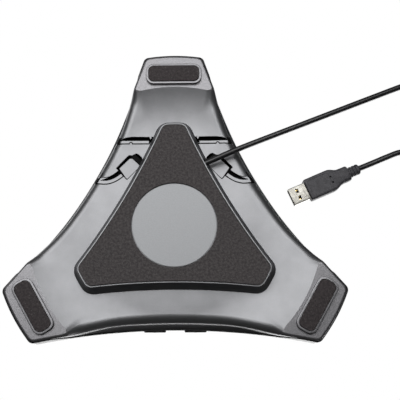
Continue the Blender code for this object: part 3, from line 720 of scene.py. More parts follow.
def polar(radius, angle):
    turn = math.radians(angle)
    return Vector((radius * math.cos(turn), radius * math.sin(turn)))


def rounded_path(corners, steps=5):
    """A closed outline through (x, y, radius) corners, each turned with its own arc."""
    outline = []
    for i, (x, y, radius) in enumerate(corners):
        corner = Vector((x, y))
        before = (Vector(corners[i - 1][:2]) - corner).normalized()
        after = (Vector(corners[(i + 1) % len(corners)][:2]) - corner).normalized()
        half = before.angle(after) / 2
        if radius < 0.01:
            outline.append((x, y))
            continue
        back = radius / math.tan(half)
        middle = corner + (before + after).normalized() * (radius / math.sin(half))
        first = corner + before * back - middle
        swing = -first.angle_signed(corner + after * back - middle)
        for step in range(steps + 1):
            turned_by = Matrix.Rotation(swing * step / steps, 2)
            outline.append(tuple(middle + turned_by @ first))
    return outline


def ribbon(points, left_of, right_of):
    """Outline of a band along a line; its two widths are functions of the share of the way along."""
    left = []
    right = []
    for i, point in enumerate(points):
        share = i / (len(points) - 1)
        before = Vector(points[max(i - 1, 0)])
        after = Vector(points[min(i + 1, len(points) - 1)])
        across = (after - before).normalized().orthogonal()
        left.append(tuple(Vector(point) + across * left_of(share)))
        right.append(tuple(Vector(point) - across * right_of(share)))
    return left + right[::-1]


def sided(outline, side):
    return outline if side > 0 else [(-x, y) for x, y in outline[::-1]]


# ---------------------------------------------------------------- bottom casing

SEAM_INSET = 0.85
TONGUE_INSET = 1.35
TONGUE_RISE = 1.6
CHANNEL_Z = 15.4
CHANNEL_Y = (60.4, 65.9)
CHANNEL_SLOT_Y = 63.05
CHANNEL_HALF = 52.6
LEDGE_DEPTH = (0.7, 1.5)
CREVICE = 0.9
SLOT_END = ((38.8, 63.2), (37.0, 64.4), (34.2, 65.3), (30.0, 65.9))
CLIP_X = 30.9
CLIP_RADII = (0.85, 1.55)
TOOTH_X = 16.8
POCKET_Z = 16.4
POCKET_BACK = 1.4
POCKET_CORNERS = (
    (41.4, 43.1, 0.6), (32.3, 52.6, 1.2), (29.9, 52.3, 1.2), (26.6, 54.2, 2.4), (22.6, 50.6, 2.6),
    (22.9, 45.4, 0.6), (33.5, 34.2, 0.9),
)
FLAP_CORNERS = (
    (38.9, 42.9, 0.3), (31.6, 50.3, 0.5), (28.4, 50.2, 1.2), (25.6, 47.4, 1.2), (24.2, 44.9, 0.5),
    (33.5, 34.9, 0.9),
)
FLAP_SLOPE = 0.07
CLIP_SQUARE_X = (14.8, 18.1)
CREVICE_DEPTH = 2.6
# Recess faces deeper than this below the underside get the near-black painted shade.
SHADE_PAINT_DEPTH = 1.75
GROOVE_LINE = ((35.4, 41.6), (38.9, 38.4), (43.2, 35.7), (48.0, 34.3), (53.4, 34.6), (58.0, 35.6))
GROOVE_SLOT_SHARE = 0.8
FOOT_RADIUS = 109.6
FOOT_SIZE = (36.0, 11.6)
FOOT_CORNER = 4.0
FOOT_RIM = 1.4
FOOT_GAP = 0.3
RIM_Z = 0.6
RECESS_Z = 1.7
SCREW_RADIUS = 109.6
COVER_SCREW_RADIUS = 50.0


def outer_rings(inset):
    """The bottom casing's outer surface, drawn in by an inset, from near the axis to the seam."""
    rows = plan(BOTTOM_CORNER)

    def rounding(r):
        return max(lower_rounding(r) - inset, 0.4)

    wall = []
    for angle in QUARTER:
        wall.append(ring_at(
            rows,
            lambda r, a=angle: inset + tuck(r) + rounding(r) * (1 - math.cos(a)),
            lambda x, y, r, a=angle: arch_z(x, y) + inset + rounding(r) * (1 - math.sin(a)),
        ))
    wall = wall[::-1]
    under = under_rings(wall[0], ARCH_SHARES, lambda x, y: arch_z(x, y) + inset)[::-1]
    for step in range(1, 7):
        share = step / 6
        wall.append(ring_at(
            rows,
            lambda r, t=share: inset + mix(tuck(r), SEAM_INSET, t**3),
            lambda x, y, r, t=share: mix(arch_z(x, y) + lower_rounding(r), seam_z(x, y), t),
        ))
    return under + wall


def bottom_shell():
    """Outer surface from the axis to the seam, over the tongue, and the inner surface back to the axis."""
    rows = plan(BOTTOM_CORNER)
    lip = [
        ring_at(rows, lambda r: TONGUE_INSET, lambda x, y, r: seam_z(x, y)),
        ring_at(rows, lambda r: TONGUE_INSET, lambda x, y, r: seam_z(x, y) + TONGUE_RISE),
        ring_at(rows, lambda r: TONGUE_INSET + 0.9, lambda x, y, r: seam_z(x, y) + TONGUE_RISE),
    ]
    inner = outer_rings(WALL)[::-1][6:]
    return loft(outer_rings(0) + lip + inner, (0, 0, arch_z(0, 0)), (0, 0, arch_z(0, 0) + WALL))


def hull_clip():
    """The space that the walls behind the recesses may fill."""
    return loft(outer_rings(0.7), (0, 0, arch_z(0, 0) + 0.7), (0, 0, SEAM_HIGH))


def arch_plus(depth):
    return lambda x, y: arch_z(x, y) + depth


def channel_ledge(x, y):
    """The floor of the straight channel's shallow side, which falls towards its slot."""
    low, high = LEDGE_DEPTH
    return arch_z(x, y) + mix(low, high, smoothstep(CHANNEL_Y[0], CHANNEL_SLOT_Y, y))


def flap_z(x, y):
    """The pocket's sprung flap, flush at its outer lower edge and deeper towards its far end."""
    along = (33.5 - abs(x)) * 0.695 + (y - 34.2) * 0.719
    return arch_z(x, y) + 0.25 + FLAP_SLOPE * max(along, 0.0)


def channel_cuts():
    """The channel's slot with tapered ends, its ledge, its crevice, and the gaps round the two clips."""
    low, high = CHANNEL_Y
    end = list(SLOT_END)
    slot = [(end[0][0], CHANNEL_SLOT_Y), *end, *((-x, y) for x, y in end[::-1]), (-end[0][0], CHANNEL_SLOT_Y)]
    cuts = [prism(slot, 0, CHANNEL_Z)]
    steps = 24
    across = [mix(-CHANNEL_HALF, CHANNEL_HALF, i / steps) for i in range(steps + 1)]
    ledge = [(x, low + 0.2) for x in across] + [(x, high - 1.2) for x in across[::-1]]
    cuts.append(prism(ledge, -2, channel_ledge))
    crevice = [(x, low) for x in across] + [(x, low + CREVICE) for x in across[::-1]]
    cuts.append(prism(crevice, -2, arch_plus(CREVICE_DEPTH)))
    near, far = CLIP_SQUARE_X
    square = [(near, low + 1.1), (far, low + 1.1), (far, high - 1.0), (near, high - 1.0)]
    for side in (1, -1):
        cuts.append(prism(sided(square, side), 0, CHANNEL_Z))
        arc = [(x, y) for x, y in circle(CLIP_RADII[1], 32) if y > -0.01]
        cuts.append(prism(placed(arc, side * CLIP_X, low + 0.4), -2, arch_plus(CREVICE_DEPTH)))
    return cuts


def channel_clips(side):
    """A round clip on the channel's near edge, and a tooth hanging into its slot beside the base."""
    low, high = CHANNEL_Y
    root = [(TOOTH_X - 1.0, high + 0.3), (TOOTH_X + 1.0, high + 0.3)]
    tooth = [*root, (TOOTH_X + 0.12, high - 1.7), (TOOTH_X - 0.12, high - 1.7)]
    return [
        prism(placed(circle(CLIP_RADII[0], 32), side * CLIP_X, low + 0.3), arch_plus(0.02), arch_plus(3.0)),
        prism(sided(tooth, side), arch_plus(0.1), CHANNEL_Z + 0.4),
    ]


def groove_line():
    return [tuple(p) for p in catmull_rom(GROOVE_LINE, 5)]


def groove_cuts(side):
    """The curved groove: a deep slot that closes before the wall, a ledge beside it and a crevice."""
    line = groove_line()
    slot_line = line[: int(len(line) * GROOVE_SLOT_SHARE)]
    slot = ribbon(slot_line, lambda s: 0.12 + 2.6 * (1 - s**4), lambda s: 0.1 - 0.05 * s)
    ledge = ribbon(line, lambda s: 2.2 * (1 - smoothstep(0.7, 0.86, s)) + 0.1, lambda s: 2.9)
    crevice = ribbon(line, lambda s: -2.15, lambda s: 3.2)
    return [
        prism(sided(slot, side), 0, CHANNEL_Z), prism(sided(ledge, side), -2, arch_plus(1.1)),
        prism(sided(crevice, side), -2, arch_plus(2.4)),
    ]


def grown(corners, by):
    """The same corners, moved away from their middle."""
    middle = sum((Vector(c[:2]) for c in corners), Vector((0, 0))) / len(corners)
    moved = []
    for x, y, radius in corners:
        out = (Vector((x, y)) - middle).normalized() * by
        moved.append((x + out.x, y + out.y, radius + by * 0.5))
    return moved


def inside(outline, x, y):
    """Whether a point lies in an outline."""
    crossings = 0
    for (ax, ay), (bx, by) in zip(outline, outline[1:] + outline[:1]):
        if (ay > y) != (by > y) and x < ax + (y - ay) / (by - ay) * (bx - ax):
            crossings += 1
    return crossings % 2 == 1


def paint_recess_shade(casing):
    """Painted shade: the deep walls and floors of the recesses get a near-black material where shade falls,
    while the flaps keep the casing paint.
    """
    low, high = CHANNEL_Y
    dark = [[(-60, low - 0.2), (60, low - 0.2), (60, high + 0.2), (-60, high + 0.2)]]
    flaps = []
    for side in (1, -1):
        dark.append(sided(rounded_path(grown(POCKET_CORNERS, 0.3)), side))
        dark.append(sided(ribbon(groove_line(), lambda s: 3.2, lambda s: 3.4), side))
        flaps.append(sided(rounded_path(grown(FLAP_CORNERS, -0.1)), side))
    casing.data.materials.append(MATERIALS["recess_painted_shade"])
    for face in casing.data.polygons:
        x = face.center.x / MM
        y = face.center.y / MM - AXIS_Y
        z = face.center.z / MM
        deepest = max(casing.data.vertices[index].co.z for index in face.vertices) / MM
        if not arch_z(x, y) + SHADE_PAINT_DEPTH < deepest < POCKET_Z + 0.1:
            continue
        if z < flap_z(x, y) + 0.3 and any(inside(flap, x, y) for flap in flaps):
            continue
        if any(inside(outline, x, y) for outline in dark):
            face.material_index = 1


def arch_normal(x, y):
    step = 0.05
    slope_x = (arch_z(x + step, y) - arch_z(x - step, y)) / (2 * step)
    slope_y = (arch_z(x, y + step) - arch_z(x, y - step)) / (2 * step)
    return Vector((slope_x, slope_y, -1)).normalized()


def follow_arch_normals(casing):
    """Shades the underside by its height rule, because the long faces near the arms' sides would show."""
    mesh = casing.data
    normals = [corner.vector.copy() for corner in mesh.corner_normals]
    for face in mesh.polygons:
        places = []
        for index in face.vertices:
            point = mesh.vertices[index].co / MM
            places.append(Vector((point.x, point.y - AXIS_Y, point.z)))
        if face.normal.z > -0.7 or any(abs(p.z - arch_z(p.x, p.y)) > 0.01 for p in places):
            continue
        middle = sum(places, Vector()) / len(places)
        for loop, place in zip(face.loop_indices, places):
            inside_face = place.lerp(middle, 0.08)
            normals[loop] = arch_normal(inside_face.x, inside_face.y)
    mesh.normals_split_custom_set(normals)


def build_bottom_casing():
    casing = mesh_object("bottom_shell", bottom_shell())
    backs = []
    for side in (1, -1):
        pocket = sided(rounded_path(grown(POCKET_CORNERS, 2.2)), side)
        backs.append(prism(pocket, 9.0, POCKET_Z + POCKET_BACK))
        groove = ribbon(groove_line(), lambda s: 4.2, lambda s: 4.2)
        backs.append(prism(sided(groove, side), 9.0, CHANNEL_Z + POCKET_BACK))
    low, high = CHANNEL_Y
    channel = [(-60, low - 1.4), (60, low - 1.4), (60, high + 1.4), (-60, high + 1.4)]
    backs.append(prism(channel, 9.0, CHANNEL_Z + POCKET_BACK))
    for angle in ARMS.values():
        length, width = FOOT_SIZE
        grow = 2 * (FOOT_RIM + FOOT_GAP)
        size = (length + grow, width + grow)
        rim = shrinking(size, FOOT_CORNER + FOOT_RIM, put_on_arm(FOOT_RADIUS, angle))
        boolean(casing, "UNION", cushion(rim, RIM_Z, 4.4, 0.45))
        boolean(casing, "UNION", prism(on_arm(circle(5.0), SCREW_RADIUS, angle), 4.0, 13.5))
        boolean(casing, "UNION", prism(on_arm(circle(4.0), COVER_SCREW_RADIUS, angle), 12.0, 18.0))
    for back in backs:
        block = mesh_object("block", back)
        boolean(block, "INTERSECT", hull_clip())
        join(casing, block)
    for angle in ARMS.values():
        recess = rounded_rectangle(length + 2 * FOOT_GAP, width + 2 * FOOT_GAP, FOOT_CORNER + FOOT_GAP)
        boolean(casing, "DIFFERENCE", prism(on_arm(recess, FOOT_RADIUS, angle), -1, RECESS_Z))
        boolean(casing, "DIFFERENCE", prism(on_arm(circle(3.7), SCREW_RADIUS, angle), 0, 5.0))
        boolean(casing, "DIFFERENCE", prism(on_arm(circle(1.9), SCREW_RADIUS, angle), 3, 15))
        boolean(casing, "DIFFERENCE", prism(on_arm(circle(1.6), COVER_SCREW_RADIUS, angle), 8, 17))
    for cut in channel_cuts():
        boolean(casing, "DIFFERENCE", cut)
    for side in (1, -1):
        for cut in groove_cuts(side):
            boolean(casing, "DIFFERENCE", cut)
        boolean(casing, "DIFFERENCE", prism(sided(rounded_path(POCKET_CORNERS), side), 0, POCKET_Z))
        flap = sided(rounded_path(FLAP_CORNERS), side)
        boolean(casing, "UNION", prism(flap, flap_z, POCKET_Z + 0.3))
        for clip in channel_clips(side):
            boolean(casing, "UNION", clip)
    casing.data.materials.clear()
    casing.data.materials.append(MATERIALS["casing_grey"])
    paint_recess_shade(casing)
    follow_arch_normals(casing)
    finish_piece(casing, "casing_grey", replaced=("bottom_casing",))


build_bottom_casing()

# ---------------------------------------------------------------- base

COVER_SIDE_IN = 30.4
COVER_END_RADIUS = 72.5
COVER_CORNER = 6.0
COVER_FLARE = 3.6
COVER_FLARE_POWER = 2.0
COVER_EDGE_INSET = 0.24
COVER_EDGE_RISE = 0.3
COVER_GAP = 0.35
COVER_WALL = 1.7
CHAMBER_Z = 3.3
RIM_WIDTH = 1.2
PAD_TOP_Z = 1.4
LABEL_RADIUS = 28.9
LABEL_HOLE_RADIUS = 29.3


def cover_rows():
    shares = [i / 12 for i in range(12)]
    return plan(COVER_CORNER, COVER_SIDE_IN, COVER_END_RADIUS, shares, 9, 3)


def build_base_cover():
    rows = cover_rows()

    def level(inset, z):
        return [(*point, z) for point in outline_of(rows, inset)]

    def under_arch(inset):
        return [(x, y, arch_z(x, y) - COVER_GAP) for x, y in outline_of(rows, inset)]

    step = RIM_WIDTH - 0.3
    rings = [level(step, RECESS_Z), level(step, RIM_Z + 0.15), level(step - 0.15, RIM_Z)]
    rings.append(level(COVER_EDGE_INSET, RIM_Z))
    for angle in range(15, 91, 15):
        turn = math.radians(angle)
        inset = COVER_EDGE_INSET * (1 - math.sin(turn))
        rings.append(level(inset, RIM_Z + COVER_EDGE_RISE * (1 - math.cos(turn))))
    for i in range(1, 8):
        share = i / 8
        rings.append([
            (*point, mix(RIM_Z + COVER_EDGE_RISE, arch_z(*point) - COVER_GAP, share))
            for point in outline_of(rows, -COVER_FLARE * share**COVER_FLARE_POWER)
        ])
    rings += [under_arch(-COVER_FLARE), under_arch(COVER_WALL - COVER_FLARE), level(COVER_WALL, CHAMBER_Z)]
    cover = mesh_object("base_plate_cover", loft(rings, (0, 0, RECESS_Z), (0, 0, CHAMBER_Z)))
    for angle in ARMS.values():
        post = on_arm(circle(4.0), COVER_SCREW_RADIUS, angle)
        boolean(cover, "UNION", prism(post, CHAMBER_Z - 0.6, arch_z(0, 0) - 0.5))
    for angle in ARMS.values():
        boolean(cover, "DIFFERENCE", prism(on_arm(circle(3.1), COVER_SCREW_RADIUS, angle), 0, 4.2))
        boolean(cover, "DIFFERENCE", prism(on_arm(circle(1.6), COVER_SCREW_RADIUS, angle), 2, 14))
    lying = Matrix.Translation((-21.5, 44.8, 7.0)) @ Matrix.Rotation(math.radians(-21.1), 4, "Z")
    bore = rounded_rectangle(5.2, 5.2, 2.5)
    tunnel = [[tuple(lying @ Vector((end, y, z))) for y, z in bore] for end in (-7, 7)]
    boolean(cover, "DIFFERENCE", loft(tunnel))
    finish_piece(cover, "casing_grey", replaced=("base_cover",))


def build_base_pad():
    rows = cover_rows()
    edge = 0.35
    section = ((edge, 0.0), (0.12, 0.1), (0.0, edge), (0.0, PAD_TOP_Z))
    rings = [[(*point, z) for point in outline_of(rows, RIM_WIDTH + inset)] for inset, z in section]
    pad = mesh_object("base_pad_sheet", loft(rings, (0, 0, 0.0), (0, 0, PAD_TOP_Z)))
    boolean(pad, "DIFFERENCE", prism(circle(LABEL_HOLE_RADIUS, 128), -1, 3))
    finish_piece(pad, "pad_brown", replaced=("base_pad",))
    face = [(0, 0.8), (LABEL_RADIUS - 0.25, 0.8), (LABEL_RADIUS, 1.0)]
    label = turned([*face, (LABEL_RADIUS, PAD_TOP_Z), (0, PAD_TOP_Z)], 128)
    finish_piece(mesh_object("label_disc", label), "label", replaced=("label_plate",))


def build_feet():
    for name, angle in ARMS.items():
        outline = shrinking(FOOT_SIZE, FOOT_CORNER, put_on_arm(FOOT_RADIUS, angle))
        pad = mesh_object(f"foot_bar_{name}", cushion(outline, 0.0, PAD_TOP_Z, 0.5))
        finish_piece(pad, "foot_brown", replaced=(f"foot_pad_{name}",))


build_base_cover()
build_base_pad()
build_feet()

# ---------------------------------------------------------------- top casing

VISIBLE_SEAM = 0.35
SKIRT_Z = 4.6
SKIRT_WALL = 0.65
SKIRT_INSET = 0.25
SKIRT_FROM = (102.0, 114.0)
RIM_WALL = 1.05
RIM_RISE = 2.4
DOME_SHARES = (0.97, 0.93, 0.88, 0.82, 0.76, 0.7, 0.64, 0.58, 0.52, 0.46, 0.4, 0.3, 0.2, 0.1)
GRILLE_RADIUS = 44.6
GRILLE_THICKNESS = 0.8
HOLE_PITCH = 2.5
HOLE_RADIUS = 0.78
RING_RADII = (45.0, 48.4)
KEY_RADIUS = 55.6
KEY_SIZE = (15.0, 8.0)
KEY_STEP_DEG = 20.0
KEY_CLEARANCE = 0.5
KEY_PROUD = 0.9
KEY_FLANGE_Z = (38.2, 39.7)
MARK_RISE = (0.5, 1.0)
EDGE_KEY_X = 14.3
EDGE_KEY_SIZE = (15.4, 3.0)
EDGE_KEY_Z = 32.3
MIC_RADIUS = 97.0
MIC_SIZE = (14.0, 3.0)
LIGHT_RADIUS = 83.0
LIGHT_SIZE = (2.3, 12.0)
FITTING_PROUD = 0.15


def top_shell():
    """Dome, rounded edge and rim, with the inner surface back to the axis."""
    rows = plan(TOP_CORNER)

    def edge_rings(thickness):
        def across(r):
            return mix(9.0, 4.2, smoothstep(85, 110, r)) - thickness

        def upright(r):
            return mix(8.5, 6.0, smoothstep(85, 110, r)) - thickness

        return [
            ring_at(
                rows,
                lambda r, a=angle: thickness + across(r) * (1 - math.cos(a)),
                lambda x, y, r, a=angle: dome_z(x, y) - thickness - upright(r) * (1 - math.sin(a)),
            )
            for angle in QUARTER
        ]

    outer = edge_rings(0)
    inner = edge_rings(WALL)
    dome = inwards(outer[-1], DOME_SHARES, dome_z)[::-1]
    ceiling = inwards(inner[-1], DOME_SHARES[::3], lambda x, y: dome_z(x, y) - WALL)

    def skirt_z(x, y, r):
        """Lower edge of the black shell, which reaches down round the arm ends."""
        return mix(seam_z(x, y) + VISIBLE_SEAM - 0.05, SKIRT_Z, smoothstep(*SKIRT_FROM, r))

    def skirt_inset(r):
        return SKIRT_INSET * smoothstep(*SKIRT_FROM, r)

    rim = [
        ring_at(rows, lambda r: skirt_inset(r), lambda x, y, r: skirt_z(x, y, r) + 0.3),
        ring_at(rows, lambda r: skirt_inset(r) + 0.15, skirt_z),
        ring_at(rows, lambda r: SKIRT_WALL, skirt_z),
        ring_at(rows, lambda r: SKIRT_WALL, lambda x, y, r: seam_z(x, y) + VISIBLE_SEAM),
        ring_at(rows, lambda r: RIM_WALL, lambda x, y, r: seam_z(x, y) + VISIBLE_SEAM),
        ring_at(rows, lambda r: RIM_WALL, lambda x, y, r: seam_z(x, y) + RIM_RISE),
        ring_at(rows, lambda r: WALL, lambda x, y, r: seam_z(x, y) + RIM_RISE + 0.2),
    ]
    return loft(dome + outer[::-1] + rim + inner + ceiling, (0, 0, DOME_Z), (0, 0, DOME_Z - WALL))


def key_place(step):
    """Middle of a top key, and the way it faces, for -1, 0 or 1 steps from the front."""
    angle = 270 + KEY_STEP_DEG * step
    return (*polar(KEY_RADIUS, angle), angle + 90)


def edge_ring(outline, side, y):
    """A ring standing at a depth in the front wall, round an edge key's place."""
    return [(x + side * EDGE_KEY_X, y, z + EDGE_KEY_Z) for x, z in outline]


def build_top_casing():
    casing = mesh_object("top_shell", top_shell())
    for angle in ARMS.values():
        boolean(casing, "UNION", prism(on_arm(circle(4.0), SCREW_RADIUS, angle), 14.0, 27.9))
    ledge_z = dome_z(47, 0) - 1.0
    boolean(casing, "DIFFERENCE", prism(circle(46.0, 128), 30, 60))
    boolean(casing, "DIFFERENCE", turned([(45.6, 60), (45.6, ledge_z), (48.8, ledge_z), (48.8, 60)], 128))
    for angle in ARMS.values():
        boolean(casing, "DIFFERENCE", prism(on_arm(circle(1.9), SCREW_RADIUS, angle), 12, 21.5))
        mic = rounded_rectangle(14.6, 3.6, 1.75)
        boolean(casing, "DIFFERENCE", prism(on_arm(mic, MIC_RADIUS, angle), 20, 60))
        light = rounded_rectangle(2.9, 12.6, 1.4)
        boolean(casing, "DIFFERENCE", prism(on_arm(light, LIGHT_RADIUS, angle), 20, 60))
    for step in (-1, 0, 1):
        x, y, turn = key_place(step)
        hole = rounded_rectangle(KEY_SIZE[0] + 2 * KEY_CLEARANCE, KEY_SIZE[1] + 2 * KEY_CLEARANCE, 3.5)
        boolean(casing, "DIFFERENCE", prism(placed(hole, x, y, turn), 36, 60))
    for side in (1, -1):
        width, height = EDGE_KEY_SIZE
        outline = rounded_rectangle(width + 0.8, height + 0.8, 1.5)
        ends = [edge_ring(outline, side, y) for y in (-SIDE_MIDDLE - 6.0, -SIDE_MIDDLE + 6.0)]
        boolean(casing, "DIFFERENCE", loft(ends))
    finish_piece(casing, "top_black", replaced=("top_casing",))


def follow_dome(obj):
    """Lifts a flat piece so that it follows the dome."""
    for vertex in obj.data.vertices:
        vertex.co.z += dome_z(vertex.co.x / MM, vertex.co.y / MM - AXIS_Y) * MM
    obj.data.update()
    obj.data.shade_smooth()
    obj.data.set_sharp_from_angle(angle=math.radians(25))


def build_grille():
    disc = turned([(0, -GRILLE_THICKNESS), (GRILLE_RADIUS, -GRILLE_THICKNESS), (GRILLE_RADIUS, -0.15),
                   (GRILLE_RADIUS - 0.2, 0.0), (0, 0.0)], 128)
    grille = mesh_object("grille_sheet", disc)
    holes = []
    rows = int(GRILLE_RADIUS / HOLE_PITCH * 1.2) + 1
    for row in range(-rows, rows + 1):
        for column in range(-rows, rows + 1):
            x = HOLE_PITCH * (column + 0.5 * (row % 2))
            y = HOLE_PITCH * row * math.sqrt(3) / 2
            if math.hypot(x, y) < GRILLE_RADIUS - 2.0:
                holes.append(prism(placed(circle(HOLE_RADIUS, 12), x, y), -2, 1))
    boolean(grille, "DIFFERENCE", merged(holes), sharp=25.0)
    follow_dome(grille)
    finish_piece(grille, "grille", replaced=("speaker_grille",))
    inner, outer = RING_RADII
    z = dome_z(47, 0)
    section = [(inner, z - 0.7), (outer, z - 0.7), (outer, z + 0.1)]
    for angle in range(0, 91, 15):
        turn = math.radians(angle)
        section.append((outer - 1.3 + 1.3 * math.cos(turn), z + 0.1 + 0.8 * math.sin(turn)))
    section += [(inner + 0.5, z + 0.9), (inner, z + 0.5)]
    finish_piece(mesh_object("trim_ring", turned(section, 160)), "steel", replaced=("grille_ring",))


def dome_cushion(outline_at, depth, proud, edge=0.6, steps=5):
    """A slab whose top follows the dome with a rounded edge, and whose bottom lies flat."""
    rings = [[(x, y, depth) for x, y in outline_at(0)]]
    for i in range(steps + 1):
        turn = math.pi / 2 * i / steps
        inset = edge * (1 - math.cos(turn))
        drop = edge * (1 - math.sin(turn))
        rings.append([(x, y, dome_z(x, y) + proud - drop) for x, y in outline_at(inset)])
    return rings


def build_top_keys():
    marks = {"call": "call_green", "mute": "icon_white", "end": "end_red"}
    for step, body in ((-1, "call"), (0, "mute"), (1, "end")):
        x, y, turn = key_place(step)
        low, high = KEY_FLANGE_Z
        flange = placed(rounded_rectangle(KEY_SIZE[0] + 2.2, KEY_SIZE[1] + 1.8, 3.6), x, y, turn)
        cap = shrinking(KEY_SIZE, 3.0, lambda outline, at=(x, y, turn): placed(outline, *at))
        rings = [[(px, py, low) for px, py in flange], [(px, py, high) for px, py in flange]]
        rings += dome_cushion(cap, high, KEY_PROUD)
        key = mesh_object(f"{body}_key_cap", loft(rings))
        finish_piece(key, "rubber", body, (f"{body}_key",))
        if body == "call":
            shape = circle(1.45, 40)
        elif body == "end":
            shape = rounded_rectangle(3.6, 1.3, 0.5)
        else:
            shape = placed(rounded_rectangle(3.8, 0.7, 0.3), 0, 0, 45)
        low_mark, high_mark = MARK_RISE
        solid = prism(
            placed(shape, x, y, turn),
            lambda px, py: dome_z(px, py) + low_mark, lambda px, py: dome_z(px, py) + high_mark,
        )
        mark = mesh_object(f"{body}_mark", solid)
        if body == "mute":
            band = turned([(1.55, -1), (2.15, -1), (2.15, 1), (1.55, 1)], 48, (x, y))
            for vertex in band.verts:
                rise = low_mark if vertex.co.z < 0 else high_mark
                vertex.co.z = dome_z(vertex.co.x, vertex.co.y) + rise
            boolean(mark, "UNION", band)
        finish_piece(mark, marks[body], body)


def build_edge_keys():
    width, height = EDGE_KEY_SIZE
    front = -SIDE_MIDDLE - 1.3
    back = -SIDE_MIDDLE + WALL + 0.3
    sections = []
    for angle in range(0, 91, 15):
        turn = math.radians(angle)
        sections.append((front + 0.6 * (1 - math.cos(turn)), 0.6 * (1 - math.sin(turn))))
    for side, body in ((-1, "volume_down"), (1, "volume_up")):
        rings = []
        for y, inset in sections + [(back, 0.0), (back, -1.0), (back + 1.2, -1.0)]:
            wide = width - 2 * inset
            tall = height - (1.2 if inset < 0 else 2) * inset
            rings.append(edge_ring(rounded_rectangle(wide, tall, min(tall / 2 - 0.1, 1.3)), side, y))
        key = mesh_object(f"{body}_key_cap", loft(rings))
        finish_piece(key, "rubber", body, (f"{body}_key",))
        bars = [rounded_rectangle(1.7, 0.36, 0.12)]
        if side > 0:
            bars.append([(-z, x) for x, z in bars[0]])
        solids = [loft([edge_ring(bar, side, front + depth) for depth in (-0.12, 0.4)]) for bar in bars]
        mark = mesh_object(f"{body}_mark", solids[0])
        for more in solids[1:]:
            boolean(mark, "UNION", more)
        finish_piece(mark, "icon_white", body)


def build_arm_fittings():
    for name, angle in ARMS.items():
        strip = shrinking(MIC_SIZE, 1.4, put_on_arm(MIC_RADIUS, angle))
        bar = shrinking(LIGHT_SIZE, 1.1, put_on_arm(LIGHT_RADIUS, angle))
        base = min(dome_z(x, y) for x, y in strip(0)) - 1.4
        mesh = mesh_object(f"mic_slots_{name}", loft(dome_cushion(strip, base, FITTING_PROUD, 0.3, 3)))
        for i in range(-4, 5):
            slot = [(x + 1.35 * i, y) for x, y in rounded_rectangle(0.6, 1.7, 0.28, 3)]
            boolean(mesh, "DIFFERENCE", prism(on_arm(slot, MIC_RADIUS, angle), base + 0.5, 60))
        finish_piece(mesh, "grille", replaced=(f"mic_mesh_{name}",))
        base = min(dome_z(x, y) for x, y in bar(0)) - 4.0
        light = mesh_object(f"light_bar_{name}", loft(dome_cushion(bar, base, FITTING_PROUD, 0.5, 4)))
        finish_piece(light, "clear", replaced=(f"status_light_{name}",))


build_top_casing()
build_grille()
build_top_keys()
build_edge_keys()
build_arm_fittings()

# ---------------------------------------------------------------- plug, tie and gland

PLUG_FRONT = (-91.6, 23.6)
PLUG_HEIGHT = 4.05
SHELL_SIZE = (12.0, 4.5, 11.9)
GRIP_LENGTH = 31.5
RELIEF_RIB = ((0.0, 5.9), (0.06, 7.0), (0.2, 7.4), (0.66, 7.2), (0.8, 6.9), (0.86, 5.8), (0.96, 5.6))


def along(start, end):
    """Frame with its X along start to end, its Y level and its Z up."""
    x = (Vector(end) - Vector(start)).normalized()
    y = Vector((0, 0, 1)).cross(x).normalized()
    z = x.cross(y)
    return Matrix.Translation(start) @ Matrix((x, y, z)).transposed().to_4x4()


def swept(sections, place, steps=6):
    """A solid through rounded-rectangle sections (distance, width, height, corner) along a frame's X."""
    rings = []
    for distance, width, height, corner in sections:
        outline = rounded_rectangle(width, height, corner, steps)
        rings.append([tuple(place @ Vector((distance, y, z))) for y, z in outline])
    return loft(rings)


def block(place, x, y, z, size, corner=0.05):
    """A box with rounded sides, centred at a point of a frame."""
    length, width, height = size
    rings = []
    for level in (z - height / 2, z + height / 2):
        outline = rounded_rectangle(length, width, corner, 4)
        rings.append([tuple(place @ Vector((x + px, y + py, level))) for px, py in outline])
    return loft(rings)


def build_plug_body(place, relief_end):
    grip = GRIP_LENGTH
    sections = [
        (0.0, 13.9, 6.6, 1.2), (0.15, 14.7, 7.4, 1.4), (0.45, 15.2, 7.8, 1.6), (1.0, 15.5, 8.0, 1.8),
        (8.0, 15.6, 8.0, 1.8), (16.5, 15.6, 8.0, 1.8), (18.2, 15.4, 8.0, 1.9), (19.6, 14.8, 7.9, 2.1),
        (21.0, 13.6, 7.8, 2.3), (22.6, 11.9, 7.6, 2.4), (23.8, 11.1, 7.5, 2.5), (25.2, 10.8, 7.4, 2.5),
        (grip - 1.2, 10.6, 7.3, 2.5), (grip - 0.5, 10.3, 7.1, 2.5), (grip - 0.1, 9.5, 6.5, 2.4),
        (grip, 8.4, 5.8, 2.3), (grip + 0.15, 5.8, 5.2, 2.2), (grip + 0.9, 5.8, 5.2, 2.2),
    ]
    at = grip + 0.95
    rib = 2.3
    while at + rib < relief_end + 0.05:
        for share, wide in RELIEF_RIB:
            sections.append((at + rib * share, wide, wide - 0.5 if wide > 6 else wide - 0.3, wide / 2 - 0.6))
        at += rib
    sections += [(relief_end - 0.35, 5.6, 5.4, 2.3), (relief_end, 5.0, 5.0, 2.2)]
    sections = [row for row in sections if row[0] <= relief_end]
    body = mesh_object("plug_grip", swept(sections, place), sharp=24.0)
    underside = -4.0
    for level in (underside - 0.35, -underside + 0.35):
        boolean(body, "DIFFERENCE", block(place, 9.6, 0.0, level, (15.4, 11.6, 1.0), 1.4), sharp=24.0)
    for offset in (-2.0, 2.0):
        dimple = block(place, 18.0, offset, underside, (1.4, 1.4, 3.2), 0.69)
        boolean(body, "DIFFERENCE", dimple, sharp=24.0)
    finish_piece(body, "grip", replaced=("plug_body",))
    return body


